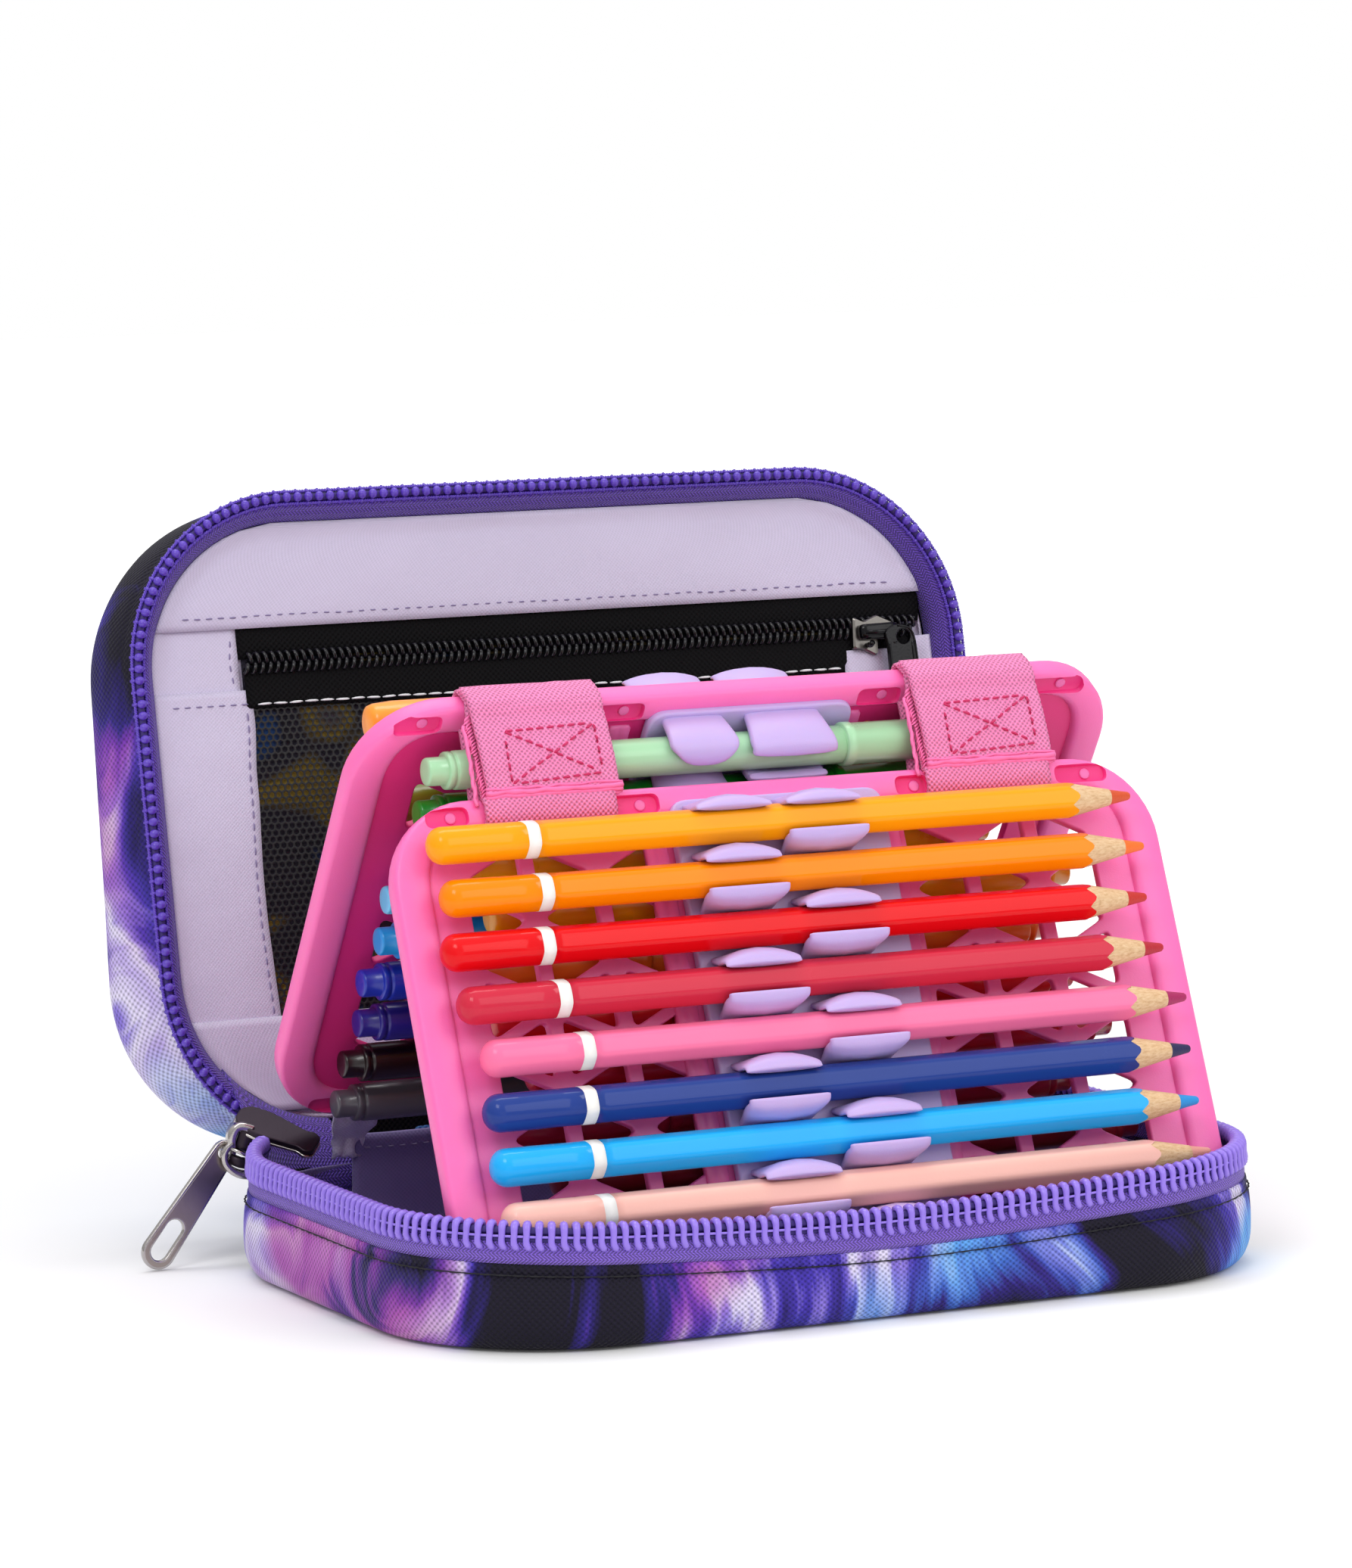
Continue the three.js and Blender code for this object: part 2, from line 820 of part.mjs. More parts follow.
function pageGeometry() {
  const rim = plate(insetOutline(0), [insetOutline(pageRimWidth)], pageRimThickness, rimLow);
  const web = plate(insetOutline(pageRimWidth / 2), trussHoles(), webThickness, -webThickness);
  const slots = [-1, 1].map((side) =>
    box(
      slotWidth,
      slotHeight,
      pageRimThickness + 2 * cutOverrun,
      (side * strapSpacing) / 2 + middleShift,
      slotTop - slotHeight / 2,
      rimLow + pageRimThickness / 2,
    ),
  );
  return join([rim, web], slots);
}

// A grip is a rubber strip with two columns of petals between the pencils. In
// each gap one petal curls down over the pencil below, one up over the one above.
function gripGeometry(holdRadius, lift, curled, shiftX, bareGaps = 0) {
  const low = gap;
  const rimInner = pageRimWidth + gap;
  const stripTop = pageLength - pageRimWidth - gap;
  const lipLow = rimLow + pageRimThickness + gap;
  const firstGap = rowTop + holdRadius + gap + petalThickness / 2;
  const lipTop = firstGap + petalThickness / 2;
  const pieces = [
    box(gripWidth, stripTop - rimInner, gripThickness, 0, (stripTop + rimInner) / 2, low + gripThickness / 2),
    box(
      gripWidth,
      lipTop - stripTop + petalThickness,
      low + gripThickness - lipLow,
      0,
      (lipTop + stripTop - petalThickness) / 2,
      (lipLow + low + gripThickness) / 2,
    ),
  ];
  // A raised seam between the columns carries the pens.
  const seamTop = Math.max(lift - holdRadius - gap, low + gripThickness);
  pieces.push(
    box(petalSpacing - petalWidth, stripTop - rimInner, seamTop - low, 0, (stripTop + rimInner) / 2, (seamTop + low) / 2),
  );
  const petalTop = lift + holdRadius + gap;
  const root = (lipLow + low + gripThickness) / 2;
  for (let k = bareGaps; k < gripGapCount; k++) {
    const y = k === 0 ? firstGap : rowTop - (k - 0.5) * rowPitch;
    for (const column of [-1, 1]) {
      const downward = (k % 2 === 0) === (column === 1);
      const half = petalThickness / 2;
      const stem = [
        [y - half, root],
        [y + half, root],
        [y + half, curled ? petalTop + petalThickness : lift + petalThickness],
        [y - half, curled ? petalTop + petalThickness : lift + petalThickness],
      ];
      const blade = downward
        ? [stem[0], stem[1], stem[2], [y - petalReach, petalTop + petalThickness], [y - petalReach, petalTop], [y - half, petalTop]]
        : [stem[0], stem[1], [y + half, petalTop], [y + petalReach, petalTop], [y + petalReach, petalTop + petalThickness], stem[3]];
      const profile = curled && (k > 0 || downward) ? blade : stem;
      const x0 = (column * petalSpacing - petalWidth) / 2;
      pieces.push(
        new THREE.ExtrudeGeometry(shapeOf(profile), { depth: petalWidth, bevelEnabled: false }).applyMatrix4(
          new THREE.Matrix4()
            .makeBasis(new THREE.Vector3(0, 1, 0), new THREE.Vector3(0, 0, 1), new THREE.Vector3(1, 0, 0))
            .setPosition(x0, 0, 0),
        ),
      );
    }
  }
  return join(pieces).translate(shiftX, 0, 0);
}

const frontPage = pageGroup(frontPageFootY, frontPageFootZ, 90 - frontPageTilt);
const rearPage = pageGroup(rearPageFootY, rearPageFootZ, 90 + rearPageTilt);
const pagePink = 0xff4fa3;
const gripLilac = 0xc3a8e0;
addPiece(frontPage.front, "front_page", pageGeometry(), pagePink, 0.3);
addPiece(rearPage.front, "rear_page", pageGeometry(), pagePink, 0.3);
addPiece(frontPage.front, "front_page_grip", gripGeometry(pencilRadius, pencilLift, true, middleShift), gripLilac, 0.5);
addPiece(frontPage.back, "front_page_back_grip", gripGeometry(penRadius, penLift, false, -middleShift, backBareGaps), gripLilac, 0.5);
addPiece(rearPage.front, "rear_page_grip", gripGeometry(penRadius, penLift, true, middleShift), gripLilac, 0.5);
addPiece(rearPage.back, "rear_page_back_grip", gripGeometry(penRadius, penLift, true, -middleShift), gripLilac, 0.5);

// Straps: a double band with a loop round each page's top bar

// A page's own height and distance from its web, as a point in the Y-Z plane
const onPage = (page, up, out) => {
  const point = new THREE.Vector3(0, up, out);
  page.front.updateMatrixWorld(true);
  point.applyMatrix4(page.front.matrixWorld);
  return [point.y, point.z];
};

function strapGeometry(x) {
  const low = slotTop - strapSlack;
  const high = pageLength + strapSlack;
  const near = rimLow + pageRimThickness + strapSlack;
  const far = rimLow - strapSlack;
  const rect = (page, grow) =>
    [
      [low - grow, far],
      [low, far - grow],
      [high, far - grow],
      [high + grow, far],
      [high + grow, near],
      [high, near + grow],
      [low, near + grow],
      [low - grow, near],
    ].map(([up, out]) => onPage(page, up, out));
  const side = (points, holes) =>
    plate(points, holes, strapWidth, x - strapWidth / 2).applyMatrix4(
      new THREE.Matrix4().makeBasis(
        new THREE.Vector3(0, 1, 0),
        new THREE.Vector3(0, 0, 1),
        new THREE.Vector3(1, 0, 0),
      ),
    );
  const loops = [rearPage, frontPage].map((page) => side(rect(page, strapThickness), [rect(page, 0)]));
  const bandEnds = [rearPage, frontPage].map((page) => [
    onPage(page, high, near + strapThickness),
    onPage(page, high, near),
    onPage(page, high + strapThickness, near),
  ]);
  const doubled = side(bandEnds.flat(), []);
  return { loops, doubled };
}
for (const [name, sideSign] of [["strap_left", -1], ["strap_right", 1]]) {
  const { loops, doubled } = strapGeometry((sideSign * strapSpacing) / 2 + middleShift);
  addPiece(model, name, join([...loops, doubled]), 0xf0468f, 0.85);
}

// Tabs: cloth strips from the rear page's lower edge down to the tray's floor
const liningFloor = floorThickness + gap + liningThickness;
for (const [name, sideSign] of [["page_tab_left", -1], ["page_tab_right", 1]]) {
  const rimMiddle = rimLow + pageRimThickness / 2;
  const points = [
    onPage(rearPage, -gap, rimMiddle + tabThickness / 2),
    [tabFootY - tabThickness / 2, liningFloor + tabFootZ],
    [tabFootY - tabThickness / 2, liningFloor + gap],
    [tabFootY + tabThickness / 2, liningFloor + gap],
    [tabFootY + tabThickness / 2, liningFloor + tabFootZ],
    onPage(rearPage, -gap, rimMiddle - tabThickness / 2),
  ];
  addPiece(
    model,
    name,
    new THREE.ExtrudeGeometry(shapeOf(points), { depth: tabWidth, bevelEnabled: false }).applyMatrix4(
      new THREE.Matrix4()
        .makeBasis(new THREE.Vector3(0, 1, 0), new THREE.Vector3(0, 0, 1), new THREE.Vector3(1, 0, 0))
        .setPosition((sideSign * tabSpacing - tabWidth) / 2, 0, 0),
    ),
    0xcfc5e3,
    0.7,
  );
}

// Pencils and pens

// Rings of equal polygons along X: [place, radius] pairs from the blunt end
function stick(stations, sides, lift, y, startX) {
  const rings = stations.map(([along, radius]) =>
    Array.from({ length: sides }, (_, k) => {
      const angle = ((k + 0.5 * (sides / 2 === 3 ? 0 : 1)) * 2 * Math.PI) / sides;
      return new THREE.Vector3(startX + along, y + radius * Math.cos(angle), lift + radius * Math.sin(angle));
    }),
  );
  return loft(rings);
}

const paintedEnd = pencilLength - pencilWoodLength - pencilLeadLength;
const leadStart = pencilLength - pencilLeadLength;
const pencilStations = [
  [0, pencilRadius * 0.35],
  [pencilDomeLength * 0.25, pencilRadius * 0.75],
  [pencilDomeLength, pencilRadius],
  [paintedEnd, pencilRadius],
  [leadStart, pencilLeadRadius],
  [pencilLength, pencilTipRadius],
];
const capStart = penLength - penCapLength;
const penStations = [
  [0, penPlugRadius],
  [penPlugLength, penPlugRadius],
  [penPlugLength, penCollarRadius],
  [penPlugLength + penCollarLength, penRadius],
  [capStart, penRadius],
  [capStart, penCapRadius],
  [penLength, penCapRadius * 0.86],
];

// How far each one sits along the row from the middle, as a share of its length
const pencilShiftShares = [-0.0085, -0.0034, -0.0148, -0.0057, 0.0131, 0.0034, 0, 0.002];
const penShiftShares = [-0.059, -0.055, -0.064, -0.073, -0.067, -0.079, -0.068, -0.076, -0.071];
const backShiftShares = [0.107, -0.02, 0.03, 0.01, -0.04, 0.05, -0.05, -0.03];

function addRow(group, prefix, colors, shiftShares, length, stations, sides, lift, skipped = 0) {
  colors.forEach((color, k) => {
    const startX = -length / 2 + shiftShares[k] * length;
    const y = rowTop - (k + skipped) * rowPitch;
    addPiece(group, `${prefix}_${k + 1}`, stick(stations, sides, lift, y, startX), color, 0.35);
  });
}

const pencilColors = [0xff9d0a, 0xff8a00, 0xe3000f, 0xa8102a, 0xf4648f, 0x1c2f6e, 0x28a5e8, 0xf5b5a8];
const penColors = [0xa8dcae, 0x0b8a1c, 0x1e5a4a, 0x6fc8f5, 0x1f9be8, 0x1a2fb0, 0x2a1f8a, 0x1a0508, 0x55505a];
const frontBackColors = [0xf7d11c, 0xf0b000, 0xe9791c, 0xd8141c, 0xc0102c, 0x9c1030, 0x7a1420, 0x5a2c18];
const rearBackColors = [0xff9a1e, 0xd8a020, 0x7c8a24, 0x158a8a, 0x8c1626, 0x1c1a20, 0xe8e6e2];
addRow(frontPage.front, "pencil", pencilColors, pencilShiftShares, pencilLength, pencilStations, pencilSides, pencilLift);
addRow(rearPage.front, "pen", penColors, penShiftShares, penLength, penStations, penSides, penLift);
addRow(frontPage.back, "inner_pen", frontBackColors, backShiftShares, penLength, penStations, penSides, penLift);
addRow(rearPage.back, "back_pen", rearBackColors, backShiftShares, penLength, penStations, penSides, penLift);

export default model;
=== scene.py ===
from math import asin, cos, dist, exp, floor, hypot, pi, radians, sin, sqrt

import bmesh
import bpy
from mathutils import Matrix, Vector, noise


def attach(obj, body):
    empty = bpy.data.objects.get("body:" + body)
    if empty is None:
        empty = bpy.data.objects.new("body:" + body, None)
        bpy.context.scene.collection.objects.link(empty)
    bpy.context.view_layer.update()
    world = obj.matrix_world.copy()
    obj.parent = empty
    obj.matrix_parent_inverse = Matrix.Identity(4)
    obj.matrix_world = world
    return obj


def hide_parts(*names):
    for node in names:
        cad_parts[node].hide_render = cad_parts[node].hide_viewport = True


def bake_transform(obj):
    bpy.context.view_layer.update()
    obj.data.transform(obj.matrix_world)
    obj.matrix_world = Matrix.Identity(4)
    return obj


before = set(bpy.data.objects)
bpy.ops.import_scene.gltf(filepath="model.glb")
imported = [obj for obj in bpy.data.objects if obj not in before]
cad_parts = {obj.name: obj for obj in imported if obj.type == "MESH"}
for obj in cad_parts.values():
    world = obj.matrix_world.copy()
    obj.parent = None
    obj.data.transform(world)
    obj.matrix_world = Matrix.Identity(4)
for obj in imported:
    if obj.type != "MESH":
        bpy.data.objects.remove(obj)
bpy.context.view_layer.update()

scene = bpy.context.scene
mm = 0.001
white, black = (1, 1, 1, 1), (0, 0, 0, 1)

# shader helpers


def linear(color):
    # a hex colour as linear light; a tuple is one already
    if isinstance(color, tuple):
        return color
    parts = [((color >> shift) & 255) / 255 for shift in (16, 8, 0)]
    return tuple(c / 12.92 if c <= 0.04045 else ((c + 0.055) / 1.055) ** 2.4 for c in parts) + (1.0,)


def wire(tree, source, target):
    # links a socket, or sets a plain value
    if isinstance(source, bpy.types.NodeSocket):
        tree.links.new(source, target)
    else:
        target.default_value = source


def addNode(tree, kind, inputs=(), operation=None):
    node = tree.nodes.new("ShaderNode" + kind)
    if operation:
        node.operation = operation
    for label, value in dict(inputs).items():
        wire(tree, value, node.inputs[label])
    return node


def calc(tree, operation, *values):
    return addNode(tree, "Math", enumerate(values), operation).outputs[0]


def spread(tree, vector, scale, detail=2.0, roughness=0.5, distortion=0.0):
    inputs = {"Vector": vector, "Scale": scale, "Detail": detail, "Roughness": roughness, "Distortion": distortion}
    return addNode(tree, "TexNoise", inputs).outputs


def ramp(tree, value, stops):
    node = addNode(tree, "ValToRGB", {"Fac": value})
    band = node.color_ramp
    while len(band.elements) < len(stops):
        band.elements.new(0.5)
    for element, (place, color) in zip(band.elements, stops):
        element.position, element.color = place, linear(color)
    return node.outputs["Color"]


def mixColor(tree, factor, a, b, blend="MIX"):
    node = addNode(tree, "Mix", {"Factor": factor})
    node.data_type, node.blend_type = "RGBA", blend
    for value, socket in zip((a, b), [s for s in node.inputs if s.type == "RGBA"]):
        wire(tree, value, socket)
    return next(s for s in node.outputs if s.type == "RGBA")


def cameraRay(tree):
    return addNode(tree, "LightPath").outputs["Is Camera Ray"]


def newMaterial(name, color, roughness, **extra):
    # returns the material, its tree, shader inputs and the two kinds of place
    made = bpy.data.materials.new(name)
    made.use_nodes = True
    tree = made.node_tree
    shader = tree.nodes["Principled BSDF"].inputs
    shader["Base Color"].default_value = linear(color)
    shader["Roughness"].default_value = roughness
    for label, value in extra.items():
        shader[label.replace("_", " ")].default_value = value
    places = addNode(tree, "TexCoord").outputs
    return made, tree, shader, places["UV"], places["Object"]


# camera, light and table

cameraView = {"place": (-0.62009, -1.24892, 0.26258), "yaw": 25.81, "pitch": 6.19, "roll": -0.99, "lens": 141.39, "clip": 0.05}
studio = {"dome": ((0.0, 0.3), (0.5, 0.4), (1.0, 1.05)), "table": 0.9, "half": 6,
          "glow": {"From Min": 0.3, "From Max": 1.1, "To Min": 0.03, "To Max": 0.5}}
# place, aim, size and power
softboxes = {
    "keyLight": ((-0.8, -0.7, 1.0), (0, 0, 0.08), (0.5, 0.4), 4.0),
    "rightLight": ((0.52, -0.87, 0.66), (0, 0, 0.08), (0.8, 0.6), 2.6),
    "frontLight": ((-0.3, -1.5, 0.35), (0, 0, 0.08), (1.2, 0.5), 0.7),
    "topLight": ((0.0, 0.22, 1.15), (0, 0.0, 0.0), (0.8, 0.35), 3.6),
}


def gray(level):
    return (level, level, level, 1)


def addCamera(view):
    yaw, pitch, roll = (radians(view[k]) for k in ("yaw", "pitch", "roll"))
    ahead = Vector((sin(yaw) * cos(pitch), cos(yaw) * cos(pitch), -sin(pitch)))
    level = Vector((cos(yaw), -sin(yaw), 0))
    up = level.cross(ahead)
    across = cos(roll) * level + sin(roll) * up
    top = cos(roll) * up - sin(roll) * level
    camera = bpy.data.objects.new("camera", bpy.data.cameras.new("camera"))
    scene.collection.objects.link(camera)
    camera.matrix_world = Matrix.Translation(view["place"]) @ Matrix((across, top, -ahead)).transposed().to_4x4()
    camera.data.lens, camera.data.clip_start = view["lens"], view["clip"]
    scene.camera = camera


def addSoftbox(name, place, aim, size, power):
    lamp = bpy.data.lights.new(name, "AREA")
    lamp.shape, lamp.size, lamp.size_y, lamp.energy = "RECTANGLE", *size, power
    holder = bpy.data.objects.new(name, lamp)
    scene.collection.objects.link(holder)
    holder.location = place
    holder.rotation_euler = (Vector(aim) - Vector(place)).to_track_quat("-Z", "Y").to_euler()


def addDome():
    # white behind the object, and a dome that is brighter overhead for its light
    world = bpy.data.worlds.new("studio")
    world.use_nodes = True
    tree = world.node_tree
    backdrop = tree.nodes["Background"]
    backdrop.inputs["Color"].default_value = white
    height = addNode(tree, "SeparateXYZ", {0: addNode(tree, "TexCoord").outputs["Generated"]}).outputs[2]
    light = ramp(tree, calc(tree, "MULTIPLY_ADD", height, 0.5, 0.5), [(place, gray(level)) for place, level in studio["dome"]])
    dome = addNode(tree, "Background", {"Color": light})
    choice = addNode(tree, "MixShader", {0: cameraRay(tree), 1: dome.outputs[0], 2: backdrop.outputs[0]})
    wire(tree, choice.outputs[0], tree.nodes["World Output"].inputs["Surface"])
    scene.world = world
    scene.view_settings.view_transform = "Standard"


def addTable():
    half = studio["half"]
    mesh = bpy.data.meshes.new("table")
    mesh.from_pydata([(-half, -half, 0), (half, -half, 0), (half, half, 0), (-half, half, 0)], [], [(0, 1, 2, 3)])
    table = bpy.data.objects.new("table", mesh)
    scene.collection.objects.link(table)
    # lifts the lit table to white for the camera alone, more so far away, so no horizon shows
    paper, tree, shader, uv, place = newMaterial("tablePaper", gray(studio["table"]), 0.9, Specular_IOR_Level=0.1,
                                                 Emission_Color=white)
    away = addNode(tree, "VectorMath", {0: place}, "LENGTH").outputs["Value"]
    near = addNode(tree, "MapRange", {**studio["glow"], "Value": away}).outputs["Result"]
    wire(tree, calc(tree, "MULTIPLY", cameraRay(tree), near), shader["Emission Strength"])
    mesh.materials.append(paper)


addCamera(cameraView)
addDome()
for name, settings in softboxes.items():
    addSoftbox(name, *settings)
addTable()
print("camera and studio ready")

# shader groups shared by the materials


def newGroup(name, numbers, **outputs):
    # a group that takes a place and some numbers
    tree = bpy.data.node_groups.new(name, "ShaderNodeTree")
    tree.interface.new_socket(name="Vector", in_out="INPUT", socket_type="NodeSocketVector")
    for label, value in numbers.items():
        tree.interface.new_socket(name=label, in_out="INPUT", socket_type="NodeSocketFloat").default_value = value
    for label, kind in outputs.items():
        tree.interface.new_socket(name=label, in_out="OUTPUT", socket_type="NodeSocket" + kind)
    return tree, tree.nodes.new("NodeGroupInput").outputs, tree.nodes.new("NodeGroupOutput").inputs


def buildPlainWeave():
    # rows of round thread crossings, one over and one under; Shade darkens the gaps between them, partly the cloth
    # beneath and partly painted shade
    tree, start, end = newGroup("plainWeave", {"Pitch": 0.0008, "Gap": 0.3}, Height="Float", Shade="Float")
    parts = addNode(tree, "SeparateXYZ", {0: start["Vector"]}).outputs
    waves = [calc(tree, "SINE", calc(tree, "MULTIPLY", calc(tree, "DIVIDE", parts[k], start["Pitch"]), pi)) for k in (0, 1)]
    crossing = calc(tree, "POWER", calc(tree, "MULTIPLY_ADD", calc(tree, "MULTIPLY", *waves), 0.5, 0.5), 0.6)
    uneven = spread(tree, start["Vector"], 900.0, 1.0)["Fac"]
    wire(tree, calc(tree, "MULTIPLY_ADD", uneven, 0.25, crossing), end["Height"])
    depth = calc(tree, "MULTIPLY", calc(tree, "SUBTRACT", 0.75, crossing), start["Gap"])
    wire(tree, calc(tree, "SUBTRACT", 1.0, depth), end["Shade"])
    return tree


def buildTwill():
    # slanted ribs that turn back in each column, as in zip tape; Shade darkens between the ribs, partly the cloth
    # beneath and partly painted shade
    tree, start, end = newGroup("twill", {"Pitch": 0.0008, "Column": 0.003}, Height="Float", Shade="Float")
    parts = addNode(tree, "SeparateXYZ", {0: start["Vector"]}).outputs

    def wave(steps, turns):
        return calc(tree, "MULTIPLY_ADD", calc(tree, "SINE", calc(tree, "MULTIPLY", steps, turns * pi)), 0.5, 0.5)
    column = calc(tree, "FRACT", calc(tree, "DIVIDE", parts[1], start["Column"]))
    fold = calc(tree, "MULTIPLY", calc(tree, "ABSOLUTE", calc(tree, "SUBTRACT", column, 0.5)), start["Column"])
    rib = wave(calc(tree, "DIVIDE", calc(tree, "ADD", parts[0], fold), start["Pitch"]), 2)
    beads = wave(calc(tree, "DIVIDE", parts[1], start["Pitch"]), 2.6)
    dots = calc(tree, "MULTIPLY", rib, calc(tree, "MULTIPLY_ADD", beads, 0.55, 0.45))
    wire(tree, dots, end["Height"])
    wire(tree, calc(tree, "MULTIPLY_ADD", dots, 1.25, 0.34), end["Shade"])
    return tree


swirl = {
    "bend": 1.6, "turn": (0.35, 0.85, 0.5), "streaks": (1.35, 0.5, 0.55), "hairs": (16.0, 1.2, 1.4), "hairShare": 0.13,
    "base": [(0.0, 0x08060F), (0.42, 0x110B22), (0.46, 0x2A1C72), (0.5, 0x4634B0), (0.53, 0x8F7ADC), (0.56, 0xE4DCF6),
             (0.6, 0xB8A2E4), (0.64, 0x4A34A4), (0.69, 0x120C28)],
    "bright": [(0.47, black), (0.54, white), (0.62, white), (0.67, black)],
    # where each tint lies, its share and its colour
    "tints": [([(0.53, black), (0.62, white)], 0.8, 0x2FA6F2), ([(0.37, white), (0.46, black)], 0.7, 0xB83AA8)],
}


def buildSwirl():
    # a soft print of wide brushed streaks
    tree, start, end = newGroup("softSwirl", {"Size": 0.05}, Color="Color")
    scaled = addNode(tree, "VectorMath", {0: start["Vector"], 1: start["Size"]}, "DIVIDE").outputs[0]
    bend = spread(tree, scaled, 0.55, 1.0, 0.5, 0.3)["Color"]
    moved = addNode(tree, "VectorMath", {0: bend, 1: (swirl["bend"],) * 3, 2: scaled}, "MULTIPLY_ADD").outputs[0]
    brushed = [addNode(tree, "Mapping", {"Rotation": swirl["turn"], "Scale": swirl[k], "Vector": moved}).outputs[0]
               for k in ("streaks", "hairs")]
    body = spread(tree, brushed[0], 0.95, 3.0, 0.5, 0.15)["Fac"]
    hairs = spread(tree, brushed[1], 1.0, 3.0, 0.6)["Fac"]
    level = calc(tree, "MULTIPLY_ADD", calc(tree, "SUBTRACT", hairs, 0.5), swirl["hairShare"], body)
    tint = spread(tree, moved, 0.6, 2.0)["Fac"]
    bright = ramp(tree, level, swirl["bright"])
    color = ramp(tree, level, swirl["base"])
    for stops, share, hue in swirl["tints"]:
        mask = calc(tree, "MULTIPLY", ramp(tree, tint, stops), bright)
        color = mixColor(tree, calc(tree, "MULTIPLY", mask, share), color, linear(hue))
    wire(tree, color, end["Color"])
    return tree


def buildGrain():
    # fine uneven surface with larger pale and dark places
    tree, start, end = newGroup("grain", {"Fine": 2500.0, "Broad": 60.0}, Height="Float", Mottle="Float")
    wire(tree, spread(tree, start["Vector"], start["Fine"])["Fac"], end["Height"])
    wire(tree, spread(tree, start["Vector"], start["Broad"], 4.0)["Fac"], end["Mottle"])
    return tree


groups = {"weave": buildPlainWeave(), "twill": buildTwill(), "swirl": buildSwirl(), "grain": buildGrain()}


def useGroup(tree, group, vector, **values):
    node = tree.nodes.new("ShaderNodeGroup")
    node.node_tree = groups[group]
    for label, value in (("Vector", vector), *values.items()):
        wire(tree, value, node.inputs[label])
    return node.outputs


def dress(tree, shader, color, shade, height, depth):
    # the colour, darkened by a mask, and the bump of a material
    if shade is not None:
        mask = addNode(tree, "CombineColor", {k: shade for k in range(3)}).outputs[0]
        color = mixColor(tree, 1.0, linear(color) if isinstance(color, int) else color, mask, "MULTIPLY")
    wire(tree, color, shader["Base Color"])
    wire(tree, addNode(tree, "Bump", {"Distance": depth, "Height": height}).outputs[0], shader["Normal"])


def mottled(tree, grain, amount):
    return calc(tree, "MULTIPLY_ADD", grain["Mottle"], amount, 1.0 - amount / 2)


def printedFabric():
    made, tree, shader, uv, place = newMaterial(
        "printedFabric", 0x3A2A80, 0.6, Sheen_Weight=0.03, Sheen_Roughness=0.5, Specular_IOR_Level=0.22)
    color = useGroup(tree, "swirl", place, Size=0.05)["Color"]
    weave = useGroup(tree, "weave", uv, Pitch=0.00076, Gap=0.75)
    dress(tree, shader, color, weave["Shade"], weave["Height"], 0.00035)
    return made


def wovenCloth(name, color, pitch, depth, roughness=0.7, sheen=0.2, mottle=0.25, gap=0.3, gloss=0.5):
    made, tree, shader, uv, place = newMaterial(name, color, roughness, Sheen_Weight=sheen, Specular_IOR_Level=gloss)
    weave = useGroup(tree, "weave", uv, Pitch=pitch, Gap=gap)
    grain = useGroup(tree, "grain", place, Fine=1800.0, Broad=40.0)
    shade = calc(tree, "MULTIPLY", weave["Shade"], mottled(tree, grain, mottle))
    dress(tree, shader, color, shade, weave["Height"], depth)
    return made


def ribbedTape(name, color):
    made, tree, shader, uv, place = newMaterial(name, color, 0.6, Sheen_Weight=0.15)
    rib = useGroup(tree, "twill", uv, Pitch=0.0009, Column=0.0028)
    dress(tree, shader, color, rib["Shade"], rib["Height"], 0.0004)
    return made


def moulded(name, color, roughness, fine=2200.0, depth=0.00002, mottle=0.1, **extra):
    made, tree, shader, uv, place = newMaterial(name, color, roughness, **extra)
    grain = useGroup(tree, "grain", place, Fine=fine, Broad=55.0)
    dress(tree, shader, color, mottled(tree, grain, mottle), grain["Height"], depth)
    wire(tree, calc(tree, "MULTIPLY_ADD", grain["Mottle"], 0.16, roughness - 0.08), shader["Roughness"])
    return made


def pencilWood():
    made, tree, shader, uv, place = newMaterial("pencilWood", 0xE3B98C, 0.7)
    streak = addNode(tree, "Mapping", {"Scale": (500, 2200, 2200), "Vector": place}).outputs[0]
    grain = spread(tree, streak, 1.0, 4.0, 0.6)["Fac"]
    color = ramp(tree, grain, [(0.3, 0xCDA074), (0.5, 0xDFB98E), (0.7, 0xE8C9A2)])
    dress(tree, shader, color, None, grain, 0.00015)
    return made


def pocketShadedBacking():
    # what lies behind the net: the pocket's back, darkened as painted shade, with dim coloured shapes for the things in
    # it, their colours also dimmed as shade
    made, tree, shader, uv, place = newMaterial("pocketShadedBacking", 0x2A2438, 0.8)
    shapes = spread(tree, place, 42.0, 1.0, 0.4, 0.4)["Fac"]
    colors = ramp(tree, shapes, [(0.36, 0x123E78), (0.43, 0x1C1826), (0.56, 0x241E30), (0.62, 0x8A7420), (0.7, 0x3A3450)])
    weave = useGroup(tree, "weave", uv, Pitch=0.0009)
    dress(tree, shader, colors, weave["Shade"], weave["Height"], 0.0002)
    return made


